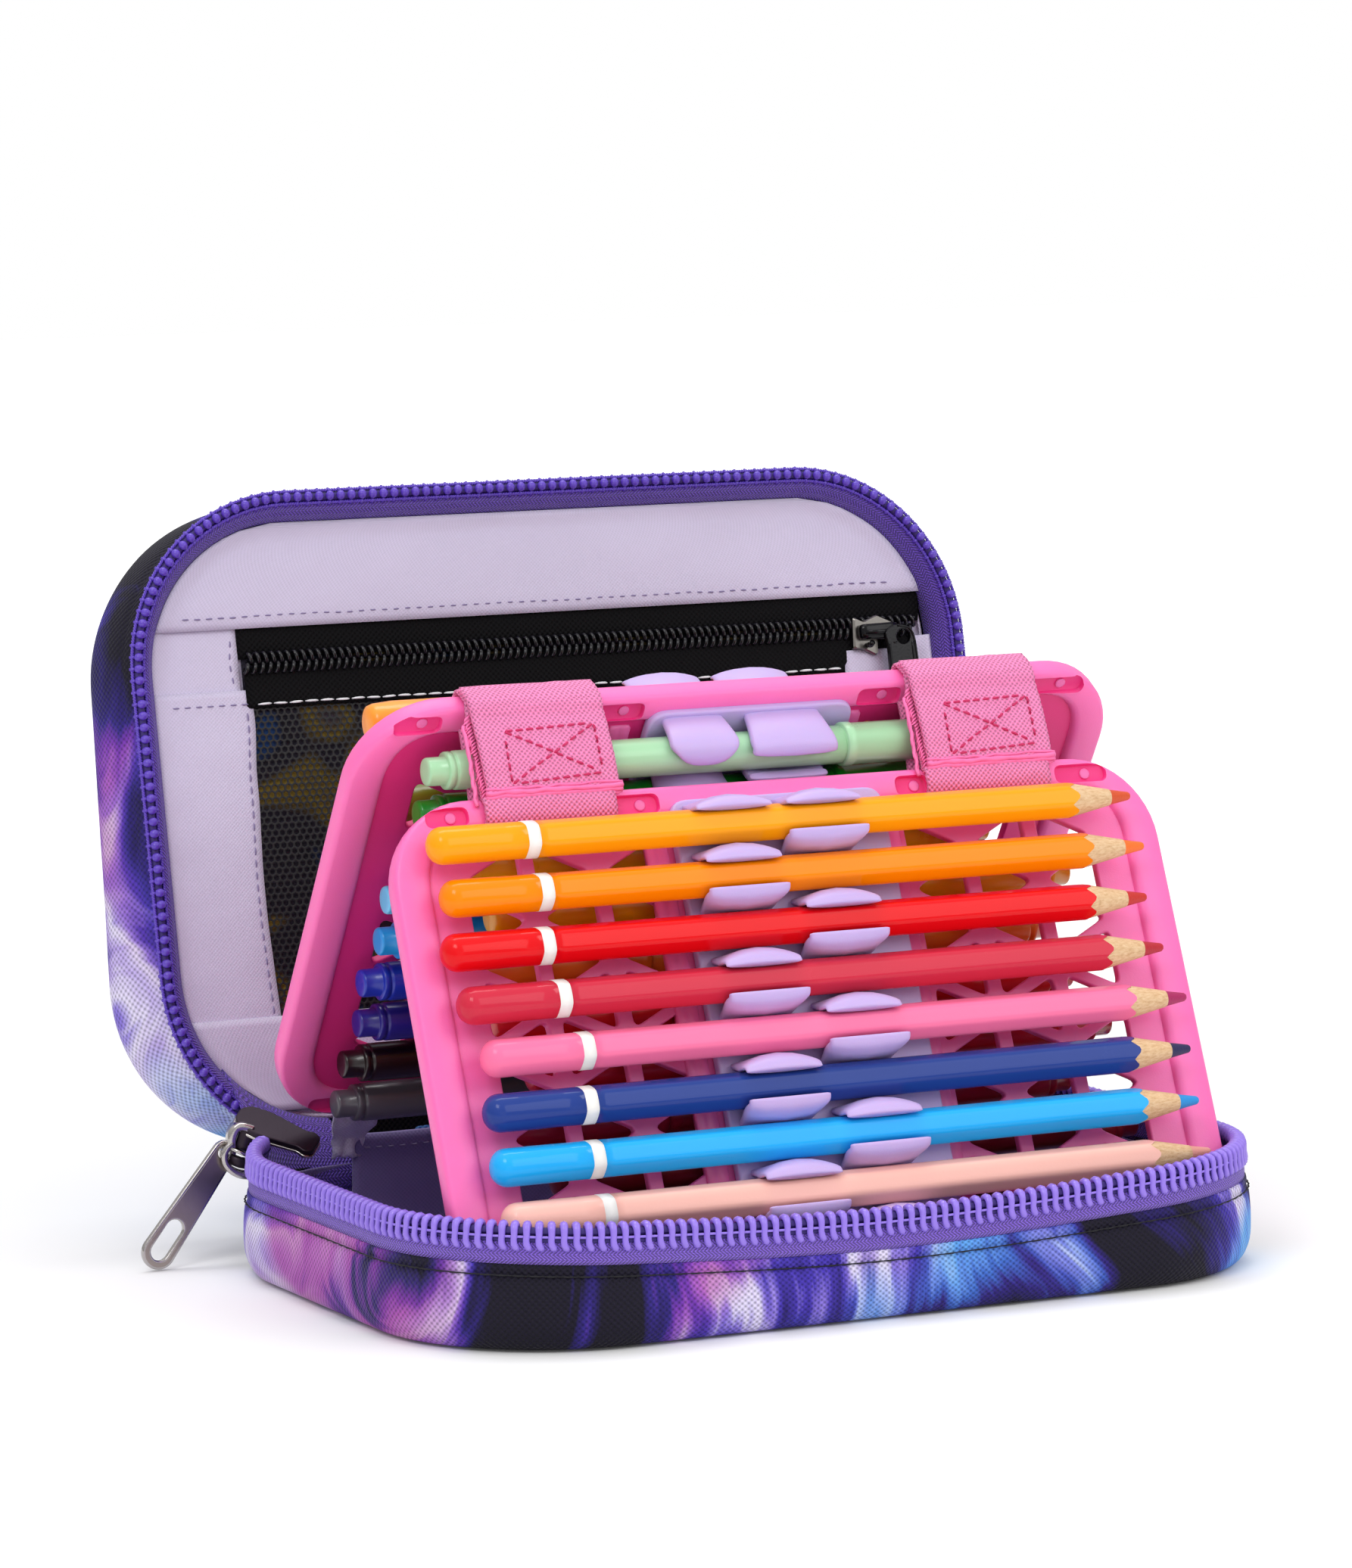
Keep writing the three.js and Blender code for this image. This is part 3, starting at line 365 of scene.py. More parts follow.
materials = {
    "print": printedFabric(),
    "satin": wovenCloth("liningSatin", 0xD4CBE6, 0.00046, 0.00008, 0.45, 0.3, 0.1, 0.16),
    # a darker copy of the lining satin, painted shade inside the tray
    "satinDim": wovenCloth("trayLining", 0x7E70A8, 0.0005, 0.00008, 0.55, 0.15, 0.2, 0.25),
    # one zip tape colour in two copies: painted shade on the lid's half, painted light on the tray's half
    "tapeDark": ribbedTape("zipTapeLid", 0x6A46C4),
    "tapeLight": ribbedTape("zipTapeTray", 0x8C66E2),
    # one coil colour in two copies: painted shade on the lid's teeth, painted light on the tray's teeth
    "coilShaded": moulded("zipCoilLid", 0x5E40BC, 0.18, mottle=0.15),
    "coilLight": moulded("zipCoilTray", 0x967AE4, 0.2, mottle=0.15),
    # the coils' core, darker than the teeth as painted shade between them
    "coilCoreShade": moulded("zipCoreShade", 0x33206E, 0.6),
    "thread": moulded("blackThread", 0x0C0A12, 0.7),
    "threadWhite": moulded("whiteThread", 0xF2F2F6, 0.6),
    "threadLilac": moulded("lilacThread", 0x8C80A8, 0.6),
    "threadRose": moulded("roseThread", 0xC81E60, 0.55),
    "threadPink": moulded("pinkThread", 0xF878B6, 0.7),
    # black cloth for the pocket zip's tapes, also used as painted shade on the spine's inside
    "blackCloth": wovenCloth("blackTape", 0x070609, 0.0007, 0.0003, 0.75, 0.0, 0.25, 0.7, 0.15),
    "net": moulded("blackNet", 0x131217, 0.6),
    "backing": pocketShadedBacking(),
    "blackCoil": moulded("blackCoil", 0x121116, 0.14),
    "blackMetal": moulded("blackEnamel", 0x0E0D11, 0.15, Metallic=0.5),
    "nickel": moulded("nickel", 0xB9B4B2, 0.2, 1500.0, mottle=0.25, Metallic=1.0),
    "gunmetal": moulded("gunmetal", 0xA69C94, 0.36, 1500.0, mottle=0.3, Metallic=1.0),
    "starMetal": moulded("starMetal", 0x7C7874, 0.3, 1500.0, mottle=0.2, Metallic=1.0),
    "darkPlate": moulded("darkPlate", 0x342A34, 0.4, 1500.0, mottle=0.2, Metallic=0.7),
    "page": moulded("pagePlastic", 0xFF72BA, 0.38, 3000.0, 0.00003, 0.06, Subsurface_Weight=0.15, Subsurface_Scale=0.005),
    # a deeper copy of the page pink: painted shade for the rear page's web and the rim's pockets
    "pageDeep": moulded("pagePaintedShade", 0xF03088, 0.45, 3000.0, 0.00003, 0.06),
    "silicone": moulded("siliconeRubber", 0xC4ACE2, 0.42, 2500.0, 0.00003, 0.08, Subsurface_Weight=0.2, Subsurface_Scale=0.003),
    "webbing": wovenCloth("webbing", 0xFF8CC4, 0.00062, 0.0005, 0.7, 0.1, 0.1, 0.6),
    "wood": pencilWood(),
    "ring": moulded("whiteRing", 0xF4F2EE, 0.35),
}
print("materials ready:", len(materials))

# mesh helpers; lengths in millimetres until a piece is made

mergeGap = 2e-6


def waver(x, y, z, size):
    return noise.noise(Vector((x / size, y / size, z / size)))


def smoothStep(t):
    t = min(max(t, 0.0), 1.0)
    return t * t * (3 - 2 * t)


def frameAt(turn, y, z):
    return Matrix.Translation((0, y, z)) @ Matrix.Rotation(radians(turn), 4, "X")


def wayAlong(points):
    # the distance from a line's start to each of its points
    made = [0.0]
    for a, b in zip(points, points[1:]):
        made.append(made[-1] + dist(a, b))
    return made


def stretchAt(lengths, s, k=0):
    # which stretch of a line holds a distance, and how far into it
    while k < len(lengths) - 2 and lengths[k + 1] < s:
        k += 1
    return k, (s - lengths[k]) / max(lengths[k + 1] - lengths[k], 1e-9)


def heading(line, k):
    # the direction of a line at one of its points
    return (Vector(line[min(k + 1, len(line) - 1)]) - Vector(line[max(k - 1, 0)])).normalized()


def circle(sides):
    angles = [2 * pi * k / sides for k in range(sides)]
    return [(cos(angle), sin(angle)) for angle in angles]


def newShape():
    return {"points": [], "faces": [], "uvs": [], "slots": []}


def addGrid(shape, rings, closed=False, slot=0, uvs=None):
    # joins rings of equally many points; uvs gives a place in millimetres for each
    first, count = len(shape["points"]), len(rings[0])
    for ring in rings:
        shape["points"].extend(tuple(p) for p in ring)
    if uvs is None:
        middle = rings[len(rings) // 2]
        along = wayAlong([*middle, middle[0]])
        uvs = [[(u, v) for u in along] for v in wayAlong([ring[count // 2] for ring in rings])]
    for r in range(len(rings) - 1):
        for k in range(count if closed else count - 1):
            a, n = first + r * count, (k + 1) % count
            shape["faces"].append((a + k, a + n, a + n + count, a + k + count))
            shape["uvs"].append((uvs[r][k], uvs[r][k + 1], uvs[r + 1][k + 1], uvs[r + 1][k]))
            shape["slots"].append(slot)


def addFan(shape, ring, slot=0, reverse=False):
    # closes a ring with one flat face
    first = len(shape["points"])
    shape["points"].extend(tuple(p) for p in ring)
    order = tuple(range(first, first + len(ring)))[::-1 if reverse else 1]
    shape["faces"].append(order)
    shape["uvs"].append(tuple(shape["points"][k][:2] for k in order))
    shape["slots"].append(slot)


def addClosed(shape, rings, slot=0, uvs=None):
    # a closed body: a skin over the rings and a face at each end
    addGrid(shape, rings, True, slot, uvs)
    addFan(shape, rings[0], slot, True)
    addFan(shape, rings[-1], slot)


def addDisc(shape, x, y, sides, levels):
    # a low round stud from (radius, height) levels
    addClosed(shape, [[(x + r * c, y + r * s, z) for c, s in circle(sides)] for r, z in levels])


def cleanMesh(mesh, solid=True):
    work = bmesh.new()
    work.from_mesh(mesh)
    bmesh.ops.remove_doubles(work, verts=work.verts, dist=mergeGap)
    if solid:
        bmesh.ops.recalc_face_normals(work, faces=work.faces)
    return work


def standFor(node):
    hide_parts(node)


def settle(name, mesh, body, node):
    piece = bpy.data.objects.new(name, mesh)
    scene.collection.objects.link(piece)
    if body:
        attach(piece, body)
    if node:
        standFor(node)
    return piece


def makePiece(name, shape, body, finishes, place=Matrix.Identity(4), node=None, smooth=True, solid=True):
    mesh = bpy.data.meshes.new(name)
    mesh.from_pydata([(place @ Vector(p)) * mm for p in shape["points"]], [], shape["faces"])
    flatUvs = [value * mm for face in shape["uvs"] for uv in face for value in uv]
    mesh.uv_layers.new(name="UVMap").data.foreach_set("uv", flatUvs)
    mesh.polygons.foreach_set("material_index", shape["slots"])
    for finish in [finishes] if isinstance(finishes, str) else finishes:
        mesh.materials.append(materials.get(finish, finish))
    work = cleanMesh(mesh, solid)
    work.to_mesh(mesh)
    work.free()
    mesh.polygons.foreach_set("use_smooth", [smooth] * len(mesh.polygons))
    return settle(name, mesh, body, node)


def evaluatedMesh(piece):
    bpy.context.view_layer.update()
    return bpy.data.meshes.new_from_object(piece.evaluated_get(bpy.context.evaluated_depsgraph_get()))


def cutPlate(name, outer, holes, low, high, edge, body, finish, place, node=None):
    # a flat plate with rounded edges and openings
    curve = bpy.data.curves.new(name, "CURVE")
    curve.dimensions, curve.fill_mode = "2D", "BOTH"
    curve.extrude = ((high - low) / 2 - edge) * mm
    curve.bevel_depth, curve.bevel_resolution, curve.offset = edge * mm, 2, -edge * mm
    for points in [outer, *holes]:
        line = curve.splines.new("POLY")
        line.points.add(len(points) - 1)
        for target, (x, y) in zip(line.points, points):
            target.co = (x * mm, y * mm, 0, 1)
        line.use_cyclic_u = True
    source = bpy.data.objects.new(name + "Outline", curve)
    scene.collection.objects.link(source)
    mesh = evaluatedMesh(source)
    bpy.data.objects.remove(source)
    bpy.data.curves.remove(curve)
    mesh.name = name
    mesh.transform(Matrix.Scale(mm, 4) @ place @ Matrix.Translation((0, 0, (low + high) / 2)) @ Matrix.Scale(1 / mm, 4))
    mesh.materials.clear()
    mesh.materials.append(materials[finish])
    work = cleanMesh(mesh)
    layer = work.loops.layers.uv.new("UVMap")
    back = place.inverted()
    for face in work.faces:
        for corner in face.loops:
            spot = back @ (corner.vert.co / mm)
            corner[layer].uv = (spot.x * mm, spot.y * mm)
        face.smooth = abs((back.to_3x3() @ face.normal).z) < 0.999
    work.to_mesh(mesh)
    work.free()
    return settle(name, mesh, body, node)


def roundedCorners(points, radius, steps=4):
    # rounds each corner of a polygon
    made = []
    for k, point in enumerate(points):
        here = Vector(point)
        before, after = Vector(points[k - 1]) - here, Vector(points[(k + 1) % len(points)]) - here
        reach = min(radius, before.length * 0.45, after.length * 0.45)
        a, b = here + before.normalized() * reach, here + after.normalized() * reach
        for step in range(steps + 1):
            t = step / steps
            made.append(tuple(a * (1 - t) ** 2 + here * 2 * t * (1 - t) + b * t * t))
    return made


def box(x0, x1, y0, y1):
    return [(x0, y0), (x1, y0), (x1, y1), (x0, y1)]


def roundedLoop(width, depth, radius, count, start=0.0, stop=360.0):
    # evenly spaced (x, y, nx, ny, s) round a rounded rectangle between two angles
    raw, angle, whole = [], start, stop - start == 360
    while angle <= stop + 1e-6:
        quarters = [angle + 0.01]
        if angle % 90 == 0 and (angle > start or whole):
            quarters = [angle - 0.01, angle + 0.01]
        if angle >= stop and len(quarters) > 1 and stop - start < 360:
            quarters.pop()
        for inside in quarters:
            corner = radians(floor(inside / 90) * 90 + 45)
            right, far = (1 if cos(corner) > 0 else -1), (1 if sin(corner) > 0 else -1)
            nx, ny = cos(radians(angle)), sin(radians(angle))
            raw.append((right * (width / 2 - radius) + nx * radius, far * (depth / 2 - radius) + ny * radius, nx, ny))
        angle += 3
    if whole:
        raw = raw[1:]
    lengths = wayAlong([point[:2] for point in raw])
    made, k = [], 0
    for i in range(count):
        s = lengths[-1] * i / (count if whole else count - 1)
        k, t = stretchAt(lengths, s, k)
        x, y, nx, ny = (a + (b - a) * t for a, b in zip(raw[k], raw[k + 1]))
        size = hypot(nx, ny)
        made.append((x, y, nx / size, ny / size, s))
    return made


def offsetRun(run, out, up):
    # the points of a run moved outward, at a height; both may be functions of x and y
    made = []
    for x, y, nx, ny, s in run:
        far, high = (value(x, y) if callable(value) else value for value in (out, up))
        made.append((x + nx * far, y + ny * far, high))
    return made


def curveThrough(points, steps):
    # a smooth line through the points, each a tuple
    made = []
    for k in range(len(points) - 1):
        p = [points[max(k - 1, 0)], points[k], points[k + 1], points[min(k + 2, len(points) - 1)]]
        for step in range(steps):
            t = step / steps
            made.append(tuple(
                0.5 * (2 * b + (c - a) * t + (2 * a - 5 * b + 4 * c - d) * t * t + (3 * b - a - 3 * c + d) * t ** 3)
                for a, b, c, d in zip(*p)))
    made.append(tuple(points[-1]))
    return made


def addTube(shape, path, radius, sides=6, slot=0):
    # a round bar along a path; radius may be one value or one per point
    rings = []
    for k, here in enumerate(path):
        ahead = heading(path, k)
        side = ahead.cross(Vector((0, 0, 1)))
        if side.length < 1e-3:
            side = ahead.cross(Vector((1, 0.1, 0)))
        side.normalize()
        top = side.cross(ahead)
        size = radius[k] if isinstance(radius, (list, tuple)) else radius
        rings.append([Vector(here) + side * (size * c) + top * (size * s) for c, s in circle(sides)])
    addClosed(shape, rings, slot)


# each stitch dips into the cloth at its ends, as (rise, size)
stitchLine = ((-1.2, 0.45), (0.35, 0.95), (0.6, 1.0), (0.35, 0.95), (-1.2, 0.45))


def addStitches(shape, path, normals, dash, space, radius, sink=0.25):
    # short rounded threads along a path
    lengths = wayAlong(path)
    s = space / 2
    while s + dash < lengths[-1]:
        line, sizes = [], []
        for step, (rise, size) in enumerate(stitchLine):
            k, t = stretchAt(lengths, s + dash * step / 4)
            normal = Vector(normals[k]).lerp(Vector(normals[k + 1]), t).normalized()
            line.append(Vector(path[k]).lerp(Vector(path[k + 1]), t) + normal * radius * (rise - sink))
            sizes.append(radius * size)
        addTube(shape, line, sizes, 5)
        s += dash + space


def clothShape(rows, thickness):
    # closed cloth: every row is offset to both sides of the surface it lies on
    solid = []
    for r, row in enumerate(rows):
        front, back = [], []
        for c, spot in enumerate(row):
            across = Vector(row[min(c + 1, len(row) - 1)]) - Vector(row[max(c - 1, 0)])
            along = Vector(rows[min(r + 1, len(rows) - 1)][c]) - Vector(rows[max(r - 1, 0)][c])
            half = across.cross(along).normalized() * (thickness(r) if callable(thickness) else thickness) / 2
            front.append(Vector(spot) + half)
            back.append(Vector(spot) - half)
        solid.append(front + back[::-1])
    shape = newShape()
    addClosed(shape, solid)
    return shape


print("helpers ready")

# the fabric case: tray and lid

case = {"width": 215.3, "depth": 151.8, "radius": 44, "wall": 2.2, "height": 19.6, "edge": 7.0, "sag": 4.0, "climb": 2.0,
        "seam": 2.1, "floor": 1.0, "puff": 0.7, "points": 300}
lid = {"width": 219.0, "length": 154.4, "radius": 42, "depth": 28.0, "edge": 12.0, "lean": 11.0, "foot": (73.0, 23.8),
       "rim": -3.7, "seam": 4.6, "bulge": 4.6, "floor": 2.2, "puff": 0.9, "crown": 1.2, "points": 320}
# a dish's wall and lip as shares of its edge and height, and the rings that close its floor
wallShares = [(1, 0), (0.36, 0.05), (0.06, 0.24), (0, 0.5), (0.04, 0.82), (0.12, 1)]
lipShares = ((0.25, 0.28), (0.5, 0.36), (0.75, 0.28))
floorShares = {"fabric": (1.0, 0.97, 0.9, 0.75, 0.5, 0.25), "lining": (1.0, 0.96, 0.88, 0.76, 0.62, 0.48, 0.34, 0.2)}
lidFrame = frameAt(90 - lid["lean"], *lid["foot"])
lidMiddle = lidFrame @ Matrix.Translation((0, lid["length"] / 2, 0))


def trayTop(x, y):
    sag = case["sag"] * cos(pi * x / case["width"]) ** 2 * smoothStep(-2 * y / case["depth"])
    return case["height"] - sag


def lidTop(x, y):
    return lid["rim"]


def loopUvs(loop, rings):
    along = [point[4] for point in loop]
    along.append(2 * along[-1] - along[-2])
    return [[(u, v) for u in along] for v in wayAlong([ring[0] for ring in rings])]


def wallRings(loop, edge, extra, low, top, shares):
    return [offsetRun(loop, -(inset * edge + extra), lambda x, y: low + rise * (top(x, y) - low)) for inset, rise in shares]


def closeFloor(shape, ring, kind, height, below):
    # closes a dish with rings that shrink to its middle
    inward = [[(x * share, y * share, height(x * share, y * share, share)) for x, y, z in ring] for share in floorShares[kind]]
    addGrid(shape, inward, True, 0, [[point[:2] for point in [*line, line[0]]] for line in inward])
    addFan(shape, inward[-1], 0, below)


def dishShape(loop, foot, top, edge, seam, floorHeight, puff, crown=0.0, sides=0.0):
    # a fabric dish; seam is how far below the top the stitched groove lies
    shares, outer = curveThrough(wallShares, 5), []
    for inset, rise in shares:
        ring = []
        for x, y, nx, ny, s in loop:
            z = foot + rise * (top(x, y) - foot)
            below = top(x, y) - z - seam
            bulge = puff * sin(pi * rise) * (0.55 + 0.9 * waver(x, y, z * 0.6, 34.0))
            bulge += sides * max(abs(nx) - 0.3, 0) / 0.7 * sin(pi * min(rise, 1) ** 0.6) * (1.1 - 0.5 * y / 77)
            pucker = 0.28 * waver(s, z * 0.35, 3.0, 5.5) * exp(-(below / 4.5) ** 2)
            depth = inset * edge - bulge - pucker + 0.5 * exp(-(below / 0.8) ** 2)
            ring.append((x - nx * depth, y - ny * depth, z))
        outer.append(ring)
    lip = [offsetRun(loop, -(edge * wallShares[-1][0] + case["wall"] * share), lambda x, y: top(x, y) + rise)
           for share, rise in lipShares]
    rings = outer + lip + wallRings(loop, edge, case["wall"], foot + floorHeight, top, shares[::-1])
    shape = newShape()
    addGrid(shape, rings, True, 0, loopUvs(loop, rings))
    closeFloor(shape, rings[0], "fabric", lambda x, y, share: foot - crown * (1 - share ** 2), True)
    closeFloor(shape, rings[-1], "fabric", lambda x, y, share: foot + floorHeight, False)
    return shape


trayLoop = roundedLoop(case["width"], case["depth"], case["radius"], case["points"])
trayShape = dishShape(trayLoop, 0.0, trayTop, case["edge"], case["seam"], case["floor"], case["puff"])
makePiece("trayFabric", trayShape, "tray", "print", node="tray_shell")
lidLoop = roundedLoop(lid["width"], lid["length"], lid["radius"], lid["points"])
lidShape = dishShape(lidLoop, -lid["depth"], lidTop, lid["edge"], lid["seam"], lid["floor"], lid["puff"], lid["crown"],
                     lid["bulge"])
makePiece("lidFabric", lidShape, "lid", "print", lidMiddle, "lid_shell")

# black stitching below both zips, and the runs that the zips follow
seams = {"dash": 3.3, "space": 0.35, "radius": 0.2, "thread": 0.13, "tray": -0.22, "lid": -0.3}
trayRun = roundedLoop(case["width"], case["depth"], case["radius"], 400, 135, 405)
lidRun = roundedLoop(lid["width"], lid["length"], lid["radius"], 400, -48, 234)


def seamShape(run, out, up):
    shape = newShape()
    normals = [(nx, ny, 0) for x, y, nx, ny, s in run]
    addStitches(shape, offsetRun(run, out, up), normals, seams["dash"], seams["space"], seams["radius"])
    addTube(shape, offsetRun(run, out - 0.1, up), seams["thread"], 5)
    return shape


makePiece("trayStitching", seamShape(trayRun, seams["tray"], lambda x, y: trayTop(x, y) - case["seam"]), "tray", "thread")
makePiece("lidStitching", seamShape(lidRun, seams["lid"], lid["rim"] - lid["seam"]), "lid", "thread", lidMiddle)
print("fabric shells ready")

# main zip: tapes and coils

mainZip = {"pitch": 2.77, "wire": 0.74, "head": 0.93, "cord": 0.3, "core": 0.95, "rise": 3.55, "tapeHeight": 5.7, "tape": 1.0,
           "lean": 1.0, "radius": 1.7, "bead": 1.08, "twist": 0.24, "twistPoints": 1400}
# one tooth, as (along, out, up from the coil's top, share of the head's extra size)
toothLine = [(0.75, 1.2, -6.3, 0.1), (0.35, 1.6, -5.7, 0.4), (-0.05, 1.65, -4.9, 0.3), (-0.12, 1.5, -4.0, 0), (0, 1.45, -3.0, 0),
             (0, 1.4, -2.0, 0.3), (0, 1.05, -1.15, 0.8), (0, 0.35, -0.8, 1.0), (0, -0.35, -0.8, 1.0), (0, -1.05, -1.15, 0.8),
             (0, -1.35, -2.0, 0.2), (0.1, -1.2, -3.2, 0)]
tapeOut = -case["edge"] * wallShares[-1][0] - 0.3
coilOut = tapeOut - mainZip["lean"] - mainZip["tape"] / 2


def trayTapeTop(x, y):
    return trayTop(x, y) + 0.3 + mainZip["tapeHeight"] + case["climb"] * smoothStep(4 * y / case["depth"] - 1)


def aboveCoil(up):
    return lambda x, y: trayTapeTop(x, y) + mainZip["rise"] + up


def chainPoint(run, s):
    # place and outward direction at a distance along a zip
    k = min(int(s / run[-1][4] * (len(run) - 1)), len(run) - 2)
    t = (s - run[k][4]) / (run[k + 1][4] - run[k][4])
    return [a + (b - a) * t for a, b in zip(run[k][:4], run[k + 1][:4])]


def toothPlaces(run):
    return [chainPoint(run, mainZip["pitch"] * (tooth + 0.6)) for tooth in range(int(run[-1][4] / mainZip["pitch"]) - 1)]


def trayTeeth():
    # nylon teeth with their sewing cord and the core inside them; the core is darker than the teeth, as painted shade
    # between them
    shape, spokes = newShape(), circle(8)
    for x, y, nx, ny in toothPlaces(trayRun):
        top, rings = aboveCoil(0)(x, y), []
        line = [(x - ny * along + nx * (coilOut + out), y + nx * along + ny * (coilOut + out), top + up)
                for along, out, up, head in toothLine]
        for k, here in enumerate(line):
            size = mainZip["wire"] + (mainZip["head"] - mainZip["wire"]) * toothLine[k][3]
            size *= 0.6 if k in (0, len(line) - 1) else 1.0
            ahead, side = heading(line, k), Vector((-ny, nx, 0))
            side = (side - ahead * side.dot(ahead)).normalized()
            over = ahead.cross(side) * 0.85
            rings.append([Vector(here) + (side * c + over * s) * size for c, s in spokes])
        addClosed(shape, rings)
    for out, up, size, slot in ((1.3, -3.35, mainZip["cord"], 0), (0.15, -2.3, mainZip["core"], 1),
                                (0.25, -4.1, mainZip["core"], 1)):
        addTube(shape, offsetRun(trayRun, coilOut + out, aboveCoil(up)), size, 6, slot)
    return shape


def lidBeads():
    # the lid's teeth seen head on: round beads, each with a foot over two twisted cords
    shape, spokes = newShape(), circle(10)
    for x, y, nx, ny in toothPlaces(lidRun):
        rings = []
        for step in range(6):
            a = pi * (step + 0.35) / 5.7 - pi / 2
            r, z = mainZip["bead"] * cos(a), mainZip["bead"] * 0.95 * sin(a) - 0.75
            rings.append([(x + nx * (r * 1.12 * c - 0.85) - ny * r * s, y + ny * (r * 1.12 * c - 0.85) + nx * r * s, z)
                          for c, s in spokes])
        addClosed(shape, rings)
        for cord in (-2.3, 0.4):
            feet = [(cord + reach, up) for reach, up in ((-0.5, -2.0), (0, -1.1), (0.5, -2.0))]
            addTube(shape, [(x + nx * out, y + ny * out, up) for out, up in feet], 0.42)
    fine = [chainPoint(lidRun, lidRun[-1][4] * k / mainZip["twistPoints"]) for k in range(mainZip["twistPoints"])]
    for cord, up in ((-2.35, -1.5), (0.55, -1.6)):
        for phase in (0, pi):
            line = []
            for k, (x, y, nx, ny) in enumerate(fine):
                out = cord + mainZip["twist"] * cos(k * 1.7 + phase)
                line.append((x + nx * out, y + ny * out, up + mainZip["twist"] * sin(k * 1.7 + phase)))
            addTube(shape, line, 0.27, 4)
    # the dark core behind the beads, painted shade between the teeth
    addTube(shape, offsetRun(lidRun, -0.9, -2.0), 1.15, 6, 1)
    return shape


def bandShape(run, section):
    # sweeps a closed section of (out, up) along a run; section is a function of x and y
    rings = [[(x + nx * out, y + ny * out, up) for out, up in section(x, y)] for x, y, nx, ny, s in run]
    first = section(*run[0][:2])
    shape = newShape()
    addClosed(shape, rings, 0, [[(point[4], v) for v in wayAlong([*first, first[0]])] for point in run])
    return shape


def trayTapeSection(x, y):
    low, high = trayTop(x, y) + 0.25, trayTapeTop(x, y)
    outer = [(tapeOut - mainZip["lean"] * t + 0.35 * sin(pi * t), low + (high - low) * t) for t in (0, 0.2, 0.4, 0.6, 0.8, 1.0)]
    return outer + [(out - mainZip["tape"], up) for out, up in reversed(outer)]


def lidTapeSection(x, y):
    return [(-1.4, -1.9), (-1.6, -2.7), (-3.3, -2.9), (-4.9, -5.0), (-6.1, -8.2), (-6.7, -8.1), (-5.6, -4.8), (-3.8, -2.3),
            (-2.8, -1.9)]


makePiece("trayZipCoil", trayTeeth(), "tray", ["coilLight", "coilCoreShade"], node="tray_zip_coil")
makePiece("lidZipCoil", lidBeads(), "lid", ["coilShaded", "coilCoreShade"], lidMiddle, "lid_zip_coil")
# the tray coil's two rounded ends
ends = newShape()
for picks in ((0, 2, 4, 6, 8), (-1, -3, -5, -7, -9)):
    addTube(ends, offsetRun([trayRun[k] for k in picks], coilOut + 0.1, aboveCoil(-2.3)), [0.9, 1.75, 2.05, 1.9, 1.2], 12)
makePiece("trayCoilEnds", ends, "tray", "coilLight")
makePiece("trayZipTape", bandShape(trayRun, trayTapeSection), "tray", "tapeLight", node="tray_zip_tape")
makePiece("lidZipTape", bandShape(lidRun, lidTapeSection), "lid", "tapeDark", lidMiddle, "lid_zip_tape")
print("main zip ready")

# linings

lining = {"margin": 6.4, "radius": 35.6, "face": -10.0, "rise": 1.2, "edge": 5.0, "cloth": 0.6, "crumple": 0.8, "inset": 6.1,
          "trayFloor": 1.3, "trayInset": case["wall"] + 0.3, "points": 200}


def liningShape(loop, foot, top, edge, crumple):
    cloth, shares = lining["cloth"], curveThrough(wallShares, 4)
    rings = wallRings(loop, edge, 0, foot, top, shares) + wallRings(loop, edge, cloth, foot + cloth, top, shares[::-1])
    shape = newShape()
    addGrid(shape, rings, True, 0, loopUvs(loop, rings))

    def crumpled(x, y, share):
        return foot + cloth + crumple * (0.6 + waver(x, y, 0, 26)) * (1 - share ** 6)
    closeFloor(shape, rings[0], "lining", lambda x, y, share: foot, True)
    closeFloor(shape, rings[-1], "lining", crumpled, False)
    return shape


sides = [case[k] - 2 * lining["trayInset"] for k in ("width", "depth")]
liningLoop = roundedLoop(*sides, case["radius"] - lining["trayInset"], lining["points"])
trayLining = liningShape(liningLoop, lining["trayFloor"], lambda x, y: trayTop(x, y) - 0.3, case["edge"], lining["crumple"])
# the tray's lining in the darker satin copy, as painted shade
makePiece("trayLining", trayLining, "tray", "satinDim", node="tray_lining")
sides = [lid[k] - 2 * lining["margin"] for k in ("width", "length")]
liningLoop = roundedLoop(*sides, lining["radius"], lining["points"])
lidLining = liningShape(liningLoop, lining["face"] - lining["cloth"], lambda x, y: lining["face"] + lining["rise"],
                        lining["edge"], 0.0)
makePiece("lidLining", lidLining, "lid", "satin", lidMiddle, "lid_lining")

# the net pocket and the panels of lining round it, on the lid's inside as (x, s, height)

pocket = {"hem": 123.6, "seam": 126.3, "tab": 109.0, "tabSeam": 105.6, "net": (30.0, 106.4), "netLeft": -79.5, "netWidth": 160,
          "cell": 1.75, "strand": 0.27, "tapeLow": 106.4, "coil": 115.3, "tapeRight": 98.6, "face": -9.7, "low": 12.0}
blackZip = {"pitch": 1.95, "wire": 0.52, "steps": 12, "length": 180, "rise": 2.0}


def rightRim(s):
    # how far the lid's lining reaches each side of the middle at height s
    half, radius = lid["width"] / 2 - lining["inset"], lid["radius"] - lining["inset"]
    low, high = lining["inset"] + radius, lid["length"] - lining["inset"] - radius
    beyond = max(low - s, s - high, 0.0)
    return half - radius + sqrt(max(radius * radius - beyond * beyond, 0.0))


def leftRim(s):
    return -rightRim(s)


def facingLeft(s):
    return -78.2 + 0.5 * sin(s / 5.0) * exp(-((s - 100) / 14) ** 2) - 1.2 * smoothStep(1 - abs(s - 60) / 35)


